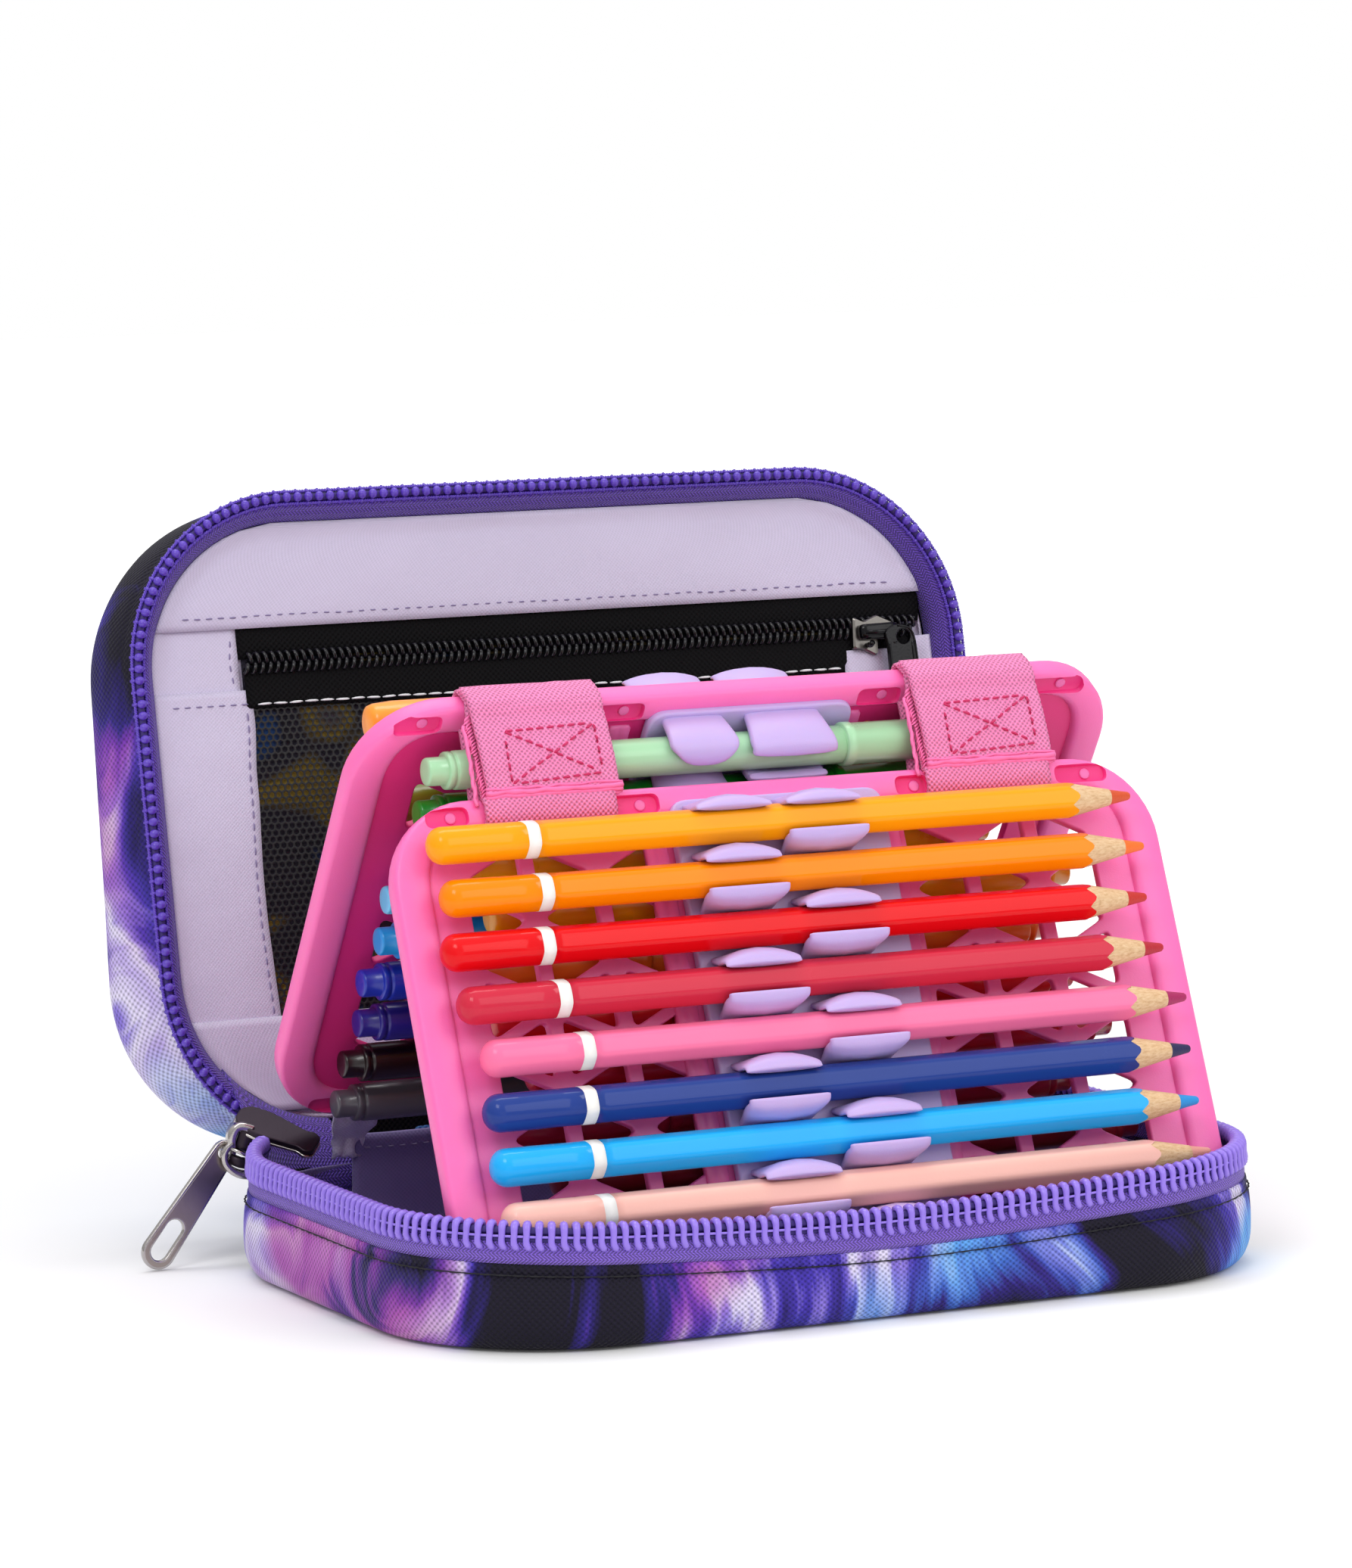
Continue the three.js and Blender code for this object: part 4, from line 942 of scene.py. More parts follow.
def edgeRise(x, s):
    # the lining turns up towards the zip near its edge
    half, radius = lid["width"] / 2 - lining["inset"], lid["radius"] - lining["inset"]
    dx = max(abs(x) - half + radius, 0.0)
    dy = max(abs(s - lid["length"] / 2) - lid["length"] / 2 + lining["inset"] + radius, 0.0)
    room = radius - hypot(dx, dy) if dx and dy else min(radius - dx, radius - dy)
    return lining["rise"] * smoothStep(1 - room / 3.5)


def addPanel(name, left, right, low, high, lift, thickness, grid, puff, finish="satin", node=None, folded=False):
    # a sewn-on panel of the lid with its hems turned under
    front, back, (rows, columns) = [], [], grid
    for r in range(rows + 1):
        s = low + (high - low) * r / rows
        a, b = (edge(s) if callable(edge) else edge for edge in (left, right))
        line, under = [], []
        for c in range(columns + 1):
            x = a + (b - a) * c / columns
            hem = min(r / 1.5, 1.0, min(c, columns - c) / 1.5 if folded else 1.0)
            foot = pocket["face"] + lift + edgeRise(x, s)
            bulge = puff * sin(pi * c / columns) * sin(pi * r / rows) * (0.7 + 0.6 * waver(x, s, 2, 30))
            line.append((x, s, foot + thickness * (0.35 + 0.65 * hem) + bulge + 0.22 * waver(x, s, 9, 9)))
            under.append((x, s, foot))
        front.append(line)
        back.append(under)
    shape, skins = newShape(), [front, back, [front[0], back[0]], [front[-1], back[-1]]]
    skins += [[[line[end] for line in skin] for skin in (front, back)] for end in (0, -1)]
    for skin in skins:
        addGrid(shape, skin)
    piece = makePiece(name, shape, "lid", finish, lidFrame, node)
    return piece


addPanel("lidFlap", leftRim, rightRim, pocket["hem"], lid["length"] - 6.2, 1.9, 1.0, (16, 90), 0.9)
addPanel("pocketSideLeft", leftRim, facingLeft, pocket["low"], pocket["tab"], 1.0, 0.9, (60, 14), 0.3, folded=True)
addPanel("pocketTopLeft", leftRim, -80.6, 104.0, 125.0, 0.5, 0.7, (14, 12), 0.2)
# this strip is too narrow for a sheet of its own
strip = addPanel("pocketTopRight", 98.2, rightRim, 104.0, 112.6, 1.7, 0.7, (14, 8), 0.2)
addPanel("pocketSideRight", 79.8, rightRim, pocket["low"], pocket["tab"] + 0.8, 1.6, 0.9, (60, 14), 0.3, folded=True)
addPanel("pocketBottom", leftRim, rightRim, 9.2, pocket["net"][0] + 1.5, 1.5, 0.8, (12, 60), 0.3, node="pocket_facing")
inside = newShape()
addGrid(inside, [[(x, s, pocket["face"] + 0.15) for x in (-79.5, 0, 92.5)] for s in (29, 60, 90, 122.8)])
# the pocket's back, dark as painted shade
makePiece("pocketInside", inside, "lid", "backing", lidFrame, solid=False)


def netBulge(x, s):
    low, high = pocket["net"]
    rise = sin(pi * min(max((s - low) / (high - low), 0), 1))
    return 0.9 + 1.1 * max(cos(pi * x / pocket["netWidth"]), 0) * rise * (0.7 + 0.5 * waver(x, s, 4, 24))


def netShape():
    # six-sided eyes in staggered rows, each with its own thickness
    shape, cell, (low, high) = newShape(), pocket["cell"], pocket["net"]
    rowStep = cell * 0.866
    corners = [(cos(pi / 6 + k * pi / 3), sin(pi / 6 + k * pi / 3)) for k in range(6)]
    for row in range(int((high - low) / rowStep)):
        for column in range(int(pocket["netWidth"] / cell)):
            middle, up = pocket["netLeft"] + cell * (column + 0.5 * (row % 2)), low + rowStep * (row + 0.5)
            rings = []
            for size, lift in ((1.0, 0.0), (1.0 - pocket["strand"], 0.12), (1.0 - pocket["strand"], -0.16)):
                spots = [(middle + cell * 0.577 * size * c, up + cell * 0.577 * size * s) for c, s in corners]
                rings.append([(x, s, pocket["face"] + netBulge(x, s) + lift) for x, s in spots])
            addGrid(shape, rings, True)
    return shape


net = makePiece("pocketNet", netShape(), "lid", "net", lidFrame, "pocket_mesh", solid=False)
# the zip's black tape is too narrow for a sheet
addPanel("pocketTapeLower", pocket["netLeft"], pocket["tapeRight"], pocket["tapeLow"] - 1.8, pocket["coil"] - 1.1, 1.3, 0.7,
         (8, 60), 0.3, "blackCloth", "pocket_zip_tape")
addPanel("pocketTapeUpper", -80.6, 101.6, pocket["coil"] + 1.1, pocket["hem"] + 1.5, 0.6, 0.7, (8, 60), 0.2, "blackCloth")
coil = newShape()
for side in (-1, 1):
    path, sizes = [], []
    for step in range(int(blackZip["length"] / blackZip["pitch"]) * blackZip["steps"]):
        phase = 2 * pi * step / blackZip["steps"]
        x = pocket["netLeft"] + blackZip["pitch"] * (step / blackZip["steps"] + (0.5 if side > 0 else 0))
        path.append((x, pocket["coil"] + side * (1.25 + 1.15 * cos(phase)),
                     pocket["face"] + blackZip["rise"] + 0.95 * sin(phase)))
        sizes.append(blackZip["wire"] + 0.16 * max(0, -cos(phase)) ** 4)
    addTube(coil, path, sizes)
makePiece("pocketCoil", coil, "lid", "blackCoil", lidFrame, "pocket_zip_coil")

# stitching on the lid's lining, as (points, thread, dash, space, radius, lift)
stitching = {
    "flapStitching": ([(x, pocket["seam"] + 0.3 * waver(x, 0, 5, 7)) for x in range(-95, 97, 2)], "threadLilac", 1.9, 1.1,
                      0.2, 3.0),
    "netStitching": ([(x, pocket["tabSeam"] - 0.1 + 0.25 * waver(x, 1, 5, 6)) for x in range(-77, 81, 2)],
                     "threadWhite", 3.4, 0.6, 0.3, 2.15),
    "tabStitchingLeft": ([(x, pocket["tabSeam"]) for x in range(-99, -78, 2)], "threadLilac", 1.9, 1.0, 0.2, 2.0),
    "tabStitchingRight": ([(x, pocket["tabSeam"] + 0.3) for x in range(82, 98, 2)], "threadLilac", 1.9, 1.0, 0.2, 2.0),
    "facingStitchingLeft": ([(facingLeft(s) - 1.9, s) for s in range(20, 106, 3)], "threadLilac", 1.9, 1.0, 0.2, 2.0),
    "facingStitchingTop": ([(-82.4 + 0.3 * sin(s / 2.1), s) for s in range(110, 123)], "threadLilac", 1.8, 1.1, 0.2, 1.3),
}
for name, (points, thread, dash, space, radius, lift) in stitching.items():
    shape = newShape()
    path = [(x, s, pocket["face"] + edgeRise(x, s) + lift + 0.15 * waver(x, s, 9, 9)) for x, s in points]
    addStitches(shape, path, [(0, 0, 1)] * len(path), dash, space, radius)
    makePiece(name, shape, "lid", thread, lidFrame)
print("lid inside ready")

# the two pages

page = {"width": 191.8, "length": 118.5, "radius": 20.2, "low": -3.7, "high": 1.5, "web": 2.2, "rib": 3.6, "pitch": 17.0,
        "margin": 12.0, "webInset": 6, "slotDrop": 5.1, "slot": (35.0, 2.4), "strapX": (-57.4, 52.6),
        "marks": (22, 46, 70, 94), "bar": (8.5, -1, 0.75)}
pages = {"front": frameAt(90 - 22.1, -60.3, 3.7), "rear": frameAt(90 + 32.8, 56.1, 34.3)}
leaves = {"front": "front_leaf", "rear": "rear_leaf"}
toBack = Matrix.Translation((0, 0, -page["web"])) @ Matrix.Rotation(pi, 4, "Y")
grip = {"width": 51.5, "shift": -2.4, "base": {"front": (53.3, -0.9), "rear": (51.5, -0.1)},
        "columns": {"front": -5.3, "rear": -4.1}, "low": 0.3, "thickness": 2.6, "foot": 7.6, "spacing": 22.4, "pitch": 12.08,
        "rowTop": 106.7, "pencilLift": 7.46, "penLift": 8.05, "radius": 4.4}
# the raised rim and the low band inside it, as (out, up)
rimSections = [
    [(-0.5, -3.7), (-0.12, -3.3), (0, -2.6), (0, 0.2), (-0.3, 1.0), (-1.0, 1.5), (-5.2, 1.5), (-6.1, 1.35), (-6.7, 0.9),
     (-7.0, 0.1), (-7.1, -0.4), (-7.1, -1.9), (-7.0, -2.6), (-6.6, -3.3), (-6.0, -3.7)],
    [(-6.4, -0.4), (-6.4, 0.5), (-8.4, 0.5), (-8.9, 0.35), (-9.1, -0.05), (-9.1, -0.4)],
]
# shallow pockets in the rim, as (left, right, from, to) below its top edge and then above its lower edge
topPockets = {"front": [(-40.5, -29.5, 6.1, 1.9), (30.5, 38.5, 6.1, 1.9), (72, 85, 5.9, 2.0), (-86, -76, 5.9, 2.0)],
              "rear": [(-39.0, -27.5, 6.4, 1.7), (27.0, 37.5, 6.4, 1.7), (71, 86, 6.2, 1.9), (-88, -77, 6.2, 1.9)]}
lowPockets = [(-86, -70, 2.0, 5.9), (70, 86, 2.0, 5.9)]


def windows():
    # triangles between upright ribs, pointing left and right in turn
    made = []
    side, inset = page["pitch"] * 2 / sqrt(3), page["rib"] / 2
    low, high = page["margin"], page["length"] - page["margin"] - page["slotDrop"]
    inner = grip["width"] / 2 + page["rib"]
    columns = int((page["width"] / 2 - page["margin"] - inner) / page["pitch"])
    reach = side / 2 - inset * sqrt(3)
    for mirror in (-1, 1):
        for column in range(columns):
            left = inner + column * page["pitch"] + inset
            right = left + page["pitch"] - 2 * inset
            for half in range(int((high - low) * 2 / side) + 1):
                middle = low + side / 2 + half * side / 2
                if middle - reach >= low and middle + reach <= high + 5.7:
                    base, tip = (left, right) if (half + column) % 2 == 0 else (right, left)
                    triangle = [(mirror * base, middle - reach), (mirror * tip, middle), (mirror * base, middle + reach)]
                    made.append(roundedCorners(triangle, 2.4))
    return made


def cutPockets(rim, place, spans):
    # sinks shallow rounded pockets into the rim's face; their faces take the deeper pink, as painted shade in the
    # recesses
    tool = newShape()
    for x0, x1, y0, y1 in spans:
        levels = ((0.35, -0.35), (0.5, -0.1), (1.2, 0.05), (1.55, 0.3), (2.5, 0.3))
        addClosed(tool, [[(x, y, z) for x, y in roundedCorners(box(x0 - grow, x1 + grow, y0 - grow, y1 + grow), 1.9, 6)]
                         for z, grow in levels])
    cutter = makePiece(rim.name + "Tool", tool, None, "pageDeep", place)
    change = rim.modifiers.new("pockets", "BOOLEAN")
    change.operation, change.object, change.solver = "DIFFERENCE", cutter, "EXACT"
    change.material_mode = "TRANSFER"
    cut = evaluatedMesh(rim)
    rim.modifiers.clear()
    rim.data = cut
    cut.set_sharp_from_angle(angle=radians(38))
    bpy.data.objects.remove(cutter)


def addBar(shape, x):
    # a flat bar with a shallow groove, and round marks along it
    end, low, high = page["bar"]
    rings = []
    for y in (end, end + 0.7, page["length"] - end - 0.7, page["length"] - end):
        edge = 0.4 if y in (end, page["length"] - end) else 0
        wide, top = 2.7 - edge, high - edge
        rings.append([(x + out, y, z) for out, z in (
            (-wide, low), (-wide, top - 0.3), (0.3 - wide, top), (-0.5, top), (0, top - 0.25), (0.5, top), (wide - 0.3, top),
            (wide, top - 0.3), (wide, low))])
    addClosed(shape, rings)
    for y in page["marks"]:
        addDisc(shape, x, y, 12, ((1.3, 0.5), (1.3, 0.95), (1.05, 1.02)))


def buildPage(which):
    place, body, length, middle = pages[which], leaves[which], page["length"], page["length"] / 2
    across, along = ((page[k] - page["webInset"]) / page[k] for k in ("width", "length"))
    outline = roundedLoop(page["width"], length, page["radius"], 160)
    web = [(x * across, y * along + middle) for x, y, *rest in outline]
    reach, top = page["slot"][0] / 2, length - page["slotDrop"]
    slots = [roundedCorners(box(x - reach, x + reach, top - page["slot"][1], top), 0.8) for x in page["strapX"]]
    # the rear page's web is in the deeper pink, painted shade behind its rim and pens
    cutPlate(which + "PageWeb", web, windows() + slots, -page["web"], 0.0, 0.45, body,
             "page" if which == "front" else "pageDeep", place, which + "_page")
    shape, loop = newShape(), roundedLoop(page["width"], length, page["radius"], 220)
    for section in rimSections:
        rings = [[(x + nx * out * (1 + 0.24 * nx * nx * (out < -3)), y + ny * out + middle, up) for x, y, nx, ny, s in loop]
                 for out, up in section]
        addGrid(shape, rings + [rings[0]], True)
    rim = makePiece(which + "PageRim", shape, body, ["page", "pageDeep"], place)
    spans = [(x0, x1, length - y0, length - y1) for x0, x1, y0, y1 in topPockets[which]] + lowPockets
    cutPockets(rim, place, spans)
    # round moulding marks on the floor of each pocket
    marks = newShape()
    for x0, x1, y0, y1 in spans:
        addDisc(marks, x0 + (x1 - x0) * 0.62, (y0 + y1) / 2, 16, ((1.3, 0.3), (1.3, 0.62), (1.0, 0.7)))
    makePiece(which + "PageMarks", marks, body, "page", place)
    bars = newShape()
    for side in (-1, 1):
        addBar(bars, grip["shift"] + side * (grip["width"] / 2 + 3.4))
    makePiece(which + "PageBars", bars, body, "page", place)


for which in pages:
    buildPage(which)
print("pages ready")

# silicone grips

# half width, reach of the tip from the rod's middle, squareness, roundness of root and tip
petalKinds = {"dome": (9.4, 2.8, 0.7, 3.3, 0.0), "blade": (9.9, 3.4, 0.4, 2.4, 0.0), "lobe": (8.6, 1.4, 0.55, 0.0, 0.8),
              "wide": (10.6, 2.4, 0.4, 1.2, 0.4)}
# piece: (place, body, solid, height of the rods, mirrored, petals that curl over the rods, bare gaps at the top)
grips = {
    "frontGrip": (pages["front"], "front_leaf", "front_page_grip", grip["pencilLift"], 1, True, 0),
    "frontBackGrip": (pages["front"] @ toBack, "front_leaf", "front_page_back_grip", grip["penLift"], -1, False, 2),
    "rearGrip": (pages["rear"], "rear_leaf", "rear_page_grip", grip["penLift"], 1, True, 0),
    "rearBackGrip": (pages["rear"] @ toBack, "rear_leaf", "rear_page_back_grip", grip["penLift"], -1, True, 0),
}


def addPetal(shape, column, hold, gap, lift, kind):
    # a thick tongue that rises from the gap and bends over the rod beside it
    half, tip, square, rootRound, tipRound = petalKinds[kind]
    isDome, sign = kind == "dome", 1 if gap > hold else -1
    root, top = abs(gap - hold), lift + grip["radius"]
    line = curveThrough([(root + 0.3, 0.8), (root + 0.4, 4.0), (root + 0.3, lift + 0.6), (root - 0.4, lift + 3.2),
                         ((root + tip) / 2 + 0.1, top + 0.25), (tip, top + 0.7)], 4)
    rings, last = [], len(line) - 1
    for k, (a, z) in enumerate(line):
        share, ahead = k / last, heading(line, k)
        wide = half * (0.86 + 0.14 * smoothStep(share * 1.6))
        thick = 1.1 + 0.2 * sin(pi * share) + (0.25 * smoothStep(share * 4 - 3) if isDome else 0)
        if k == last:
            wide, thick = wide - 0.15, thick * 0.9
        if kind == "lobe":
            wide *= sqrt(1 - (max(share - 0.5, 0) / 0.56) ** 2)
        ring = []
        for c, s in circle(24):
            across = wide * (abs(c) ** square) * (1 if c > 0 else -1)
            edge = min((across / half) ** 2, 1)
            depth = thick * (abs(s) ** 0.5) * (1 if s > 0 else -1) * (1 - (0.55 * edge * share if isDome else 0))
            drop = rootRound * edge * (1 - share) * smoothStep(share * 3 - 0.4) - tipRound * edge * smoothStep(share * 2 - 1)
            along = a + ahead.y * depth - drop
            ring.append((column + across, hold + sign * along, z - ahead.x * depth - 0.35 * abs(drop)))
        rings.append(ring)
    middle = [sum(values) / len(values) for values in zip(*rings[-1])]
    shift = (0, -sign * 0.12, 0.0)
    rings.append([tuple(m + (v - m) * 0.93 + d for m, v, d in zip(middle, point, shift)) for point in rings[-1]])
    addClosed(shape, rings)


def buildGrip(name, place, body, node, lift, mirror, curled, bare):
    which = body.split("_")[0]
    width, shift = grip["base"][which]
    left, right = shift * mirror - width / 2, shift * mirror + width / 2
    top = grip["rowTop"] + grip["radius"] + 0.9
    outline = roundedCorners(box(left, right, grip["foot"], top + 2.6), 4.5, 6)
    cutPlate(name + "Base", outline, [], grip["low"] - 0.1, grip["low"] + grip["thickness"], 0.6, body, "silicone", place, node)
    shape = newShape()
    for index in range(bare, 9):
        gap = top if index == 0 else grip["rowTop"] - (index - 0.5) * grip["pitch"]
        for side in (-1, 1):
            column = grip["columns"][which] * mirror + side * grip["spacing"] / 2
            isUpper = (index % 2 == 1) == (side * mirror == 1)
            if not curled:
                stem = box(column - 7.5, column + 7.5, gap - 0.75, gap + 0.75)
                addClosed(shape, [[(x, y, z) for x, y in stem] for z in (1, lift - 1, lift + 1.4)])
            elif index == 0:
                kind = "dome" if name != "rearGrip" else "wide" if side == 1 else "lobe"
                addPetal(shape, column, grip["rowTop"], gap, lift, kind)
            else:
                toward = 1 if isUpper else -1
                addPetal(shape, column, gap + toward * grip["pitch"] / 2, gap, lift, "blade" if isUpper else "dome")
    makePiece(name + "Petals", shape, body, "silicone", place)


for name, settings in grips.items():
    buildGrip(name, *settings)
print("grips ready")

# coloured pencils

pencil = {"length": 176.0, "radius": 4.4, "wood": 12.6, "lead": 5.6, "leadRadius": 1.9, "tip": 0.85, "ring": (22.6, 25.5),
          "dome": 3.6, "sides": 36, "raggedness": 0.35}
# paint, lead and shift along the page as a share of the length
pencilRow = [(0xFFA40C, 0xD9501E, -0.0085), (0xFF8A00, 0xF4701C, -0.0034), (0xE60A14, 0xC8281E, -0.0148),
             (0xD02C44, 0xB8182A, -0.0057), (0xFF78A6, 0xA8145A, 0.0131), (0x243E8C, 0x1F1A50, 0.0034),
             (0x22AEF6, 0x1E8FD8, 0), (0xFFC2B4, 0xE89C90, 0.002)]


def pencilPaint(name, color):
    return moulded(name, color, 0.24, 1200.0, mottle=0.06, Specular_IOR_Level=0.08, Coat_Weight=0.3, Coat_Roughness=0.04)


def buildPencil(index, paint, lead, shift):
    length, radius, sides = pencil["length"], pencil["radius"], pencil["sides"]
    start, y = shift * length - length / 2, grip["rowTop"] - index * grip["pitch"]
    angles, spokes = [2 * pi * k / sides for k in range(sides)], circle(sides)

    def ring(along, size):
        # both may be one value or one per angle
        alongs, sizes = (value if isinstance(value, list) else [value] * sides for value in (along, size))
        return [(start + a, y + r * c, grip["pencilLift"] + r * s) for a, r, (c, s) in zip(alongs, sizes, spokes)]

    # a six-sided rod with softened corners, swollen towards its rounded end
    rod = [min(radius * cos(pi / 6) / cos((a % (pi / 3)) - pi / 6), radius * 0.96) for a in angles]
    swollen = [r * 0.25 + radius * 0.975 * 0.75 for r in rod]
    half, raised = ([(w + r) / 2 + extra for w, r in zip(swollen, rod)] for extra in (0, 0.1))
    low, high = pencil["ring"]
    shape = newShape()
    back = [ring(pencil["dome"] * (1 - cos(pi / 2 * t)), [w * max(sin(pi / 2 * t), 0.02) ** 0.85 for w in swollen])
            for t in (0.02, 0.15, 0.3, 0.45, 0.6, 0.75, 0.9, 1.0)]
    for step, share in ((5, 0.0), (9, 0.1), (14, 0.35)):
        back.append(ring(pencil["dome"] + step, [w * (1 - share) + r * share for w, r in zip(swollen, rod)]))
    addGrid(shape, back + [ring(low - 0.05, half)], True, 0)
    addGrid(shape, [ring(low - 0.05, half), ring(low, raised), ring(high, raised), ring(high + 0.05, half)], True, 1)
    # the painted rod, up to its ragged edge at the sharpened cone
    coneStart, coneEnd = length - pencil["lead"] - pencil["wood"], length - pencil["lead"]
    slope = (radius - pencil["leadRadius"]) / pencil["wood"]
    edge = []
    for (c, s), r in zip(spokes, rod):
        ragged = pencil["raggedness"] * noise.noise(Vector((c * 2.1, s * 2.1, index * 3.7)))
        edge.append(coneStart + (radius - r) / slope + 0.4 + ragged)
    stations = [ring(along, rod) for along in (high + 2.5, 60, 110, coneStart - 1, edge)]
    addGrid(shape, [ring(high + 0.05, half)] + stations, True, 0)
    wood = [ring(edge, [min(r, radius - slope * (e - coneStart)) - 0.02 for r, e in zip(rod, edge)])]
    for t in (0.15, 0.35, 0.6, 0.85, 1.0):
        places = [e * (1 - t) + coneEnd * t for e in edge]
        wood.append(ring(places, [radius - slope * (place - coneStart) for place in places]))
    addGrid(shape, wood, True, 2)
    tip = [ring(coneEnd, pencil["leadRadius"]), ring(coneEnd + 0.15, pencil["leadRadius"] - 0.12),
           ring(length - 0.5, pencil["tip"] + 0.1), ring(length - 0.1, pencil["tip"] * 0.8),
           ring(length, pencil["tip"] * 0.4)]
    addGrid(shape, tip, True, 3)
    addFan(shape, tip[-1], 3)
    addFan(shape, back[0], 0, True)
    name, node = f"pencil{index + 1}", f"pencil_{index + 1}"
    finishes = [pencilPaint(name + "Paint", paint), "ring", "wood", moulded(name + "Lead", lead, 0.55, 2600.0, 0.00008, 0.3)]
    makePiece(name, shape, "front_leaf" if index == 7 else node + "_body", finishes, pages["front"], node)


for index, settings in enumerate(pencilRow):
    buildPencil(index, *settings)
print("pencils ready")

# felt pens

pen = {"length": 146.0, "radius": 4.4, "cap": 5.1, "capLength": 43.0, "plug": 3.2, "collar": 4.0, "sides": 28, "flute": 0.22}
# solid's name, place, body, and each pen's colour with its shift along the page as a share of the length
penRows = [
    ("pen", pages["rear"], "rear_leaf",
     {0xA8DCAE: -0.059, 0x0B8A1C: -0.055, 0x1E5A4A: -0.064, 0x6FC8F5: -0.073, 0x1F9BE8: -0.067, 0x1A2FB0: -0.079,
      0x2A1F8A: -0.068, 0x1A0508: -0.076, 0x55505A: -0.071}),
    ("inner_pen", pages["front"] @ toBack, "front_leaf",
     {0xF7D11C: 0.107, 0xF0B000: -0.02, 0xE9791C: 0.03, 0xD8141C: 0.01, 0xC0102C: -0.04, 0x9C1030: 0.05, 0x7A1420: -0.05,
      0x5A2C18: -0.03}),
    ("back_pen", pages["rear"] @ toBack, "rear_leaf",
     {0xFF9A1E: 0.107, 0xD8A020: -0.02, 0x7C8A24: 0.03, 0x158A8A: 0.01, 0x8C1626: -0.04, 0x1C1A20: 0.05, 0xE8E6E2: -0.05}),
]


def penStations():
    # (along, radius) from the plug to the cap's end
    length, collar, plug, radius, cap = (pen[k] for k in ("length", "collar", "plug", "radius", "cap"))
    cut = length - pen["capLength"]
    return [(0.0, plug * 0.5), (0.0, plug - 0.5), (0.15, plug - 0.15), (0.5, plug), (4.4, plug), (4.5, plug + 0.2),
            (4.5, collar), (4.7, collar + 0.25), (5.8, collar + 0.3), (6.1, collar), (6.4, collar), (6.5, radius - 0.15),
            (7.0, radius), (60, radius), (cut - 0.4, radius), (cut - 0.3, radius - 0.3), (cut, radius - 0.3),
            (cut, cap - 0.35), (cut + 0.3, cap), (cut + 2.2, cap), (cut + 2.6, cap - 0.3), (length - 6, cap * 0.94),
            (length - 1.5, cap * 0.86), (length - 0.4, cap * 0.78), (length, cap * 0.6)]


def buildPen(prefix, place, body, index, shift, color):
    y, start = grip["rowTop"] - index * grip["pitch"], shift * pen["length"] - pen["length"] / 2
    fluted = (pen["length"] - pen["capLength"] + 2.5, pen["length"] - 2)
    flutes = [pen["flute"] * max(0.0, cos(12 * pi * j / pen["sides"])) ** 3 for j in range(pen["sides"])]
    rings = []
    for along, size in penStations():
        reaches = [size - flute * (fluted[0] < along < fluted[1]) for flute in flutes]
        rings.append([(start + along, y + r * c, grip["penLift"] + r * s) for r, (c, s) in zip(reaches, circle(pen["sides"]))])
    shape = newShape()
    addClosed(shape, rings)
    node = f"{prefix}_{index + 1}"
    finish = moulded(node + "Plastic", color, 0.3, 1500.0, mottle=0.12, Coat_Weight=0.25)
    makePiece(node.replace("_pen", "Pen").replace("_", ""), shape, body, [finish], place, node)


for prefix, place, body, row in penRows:
    for index, (color, shift) in enumerate(row.items()):
        buildPen(prefix, place, body, index, shift, color)
print("pens ready")

# webbing straps round both top bars

strap = {"width": 32.0, "cloth": 1.3, "slack": 0.45, "face": 18.8, "shift": 1.2, "lean": (0.9, 1.6), "columns": 26,
         "coverColumns": 30, "threads": 26, "box": [(0.22, 0.24), (0.91, 0.2), (0.89, 0.81), (0.19, 0.88)]}
# frayed end: drop, rise and size of each cord
frayRows = ((0.0, 0.5, 0.85), (0.8, 0.2, 0.7), (-0.9, 0.75, 0.4), (1.4, -0.2, 0.4))


def onPage(which, up, out):
    return tuple((pages[which] @ Vector((0, up, out))).yz)


def ribbonShape(line, centre):
    # a flat band along a (y, z) line, with thin turned edges
    width, columns, rows = strap["width"], strap["columns"], []
    for k, (y, z) in enumerate(line):
        ahead = heading(line, k)
        front, back = [], []
        for c in range(columns + 1):
            share = c / columns * 2 - 1
            wobble = 0.25 * noise.noise(Vector((k * 0.7, share * 3, centre)))
            x = centre + share * (width / 2 + (wobble if abs(share) > 0.99 else 0))
            thick = strap["cloth"] / 2 * (1 - 0.45 * max(abs(share) - 0.93, 0) / 0.07)
            lift = 0.14 * waver(x, k * 2.0, 1, 6)
            for skin, out in ((front, lift + thick), (back, lift - thick)):
                skin.append((x, y - ahead.y * out, z + ahead.x * out))
        rows.append(front + back[::-1])
    along = [c / columns * width for c in range(columns + 1)]
    along += [width + c / columns * width for c in range(columns + 2)]
    shape = newShape()
    addClosed(shape, rows, 0, [[(u, v) for u in along] for v in wayAlong([row[0] for row in rows])])
    return shape


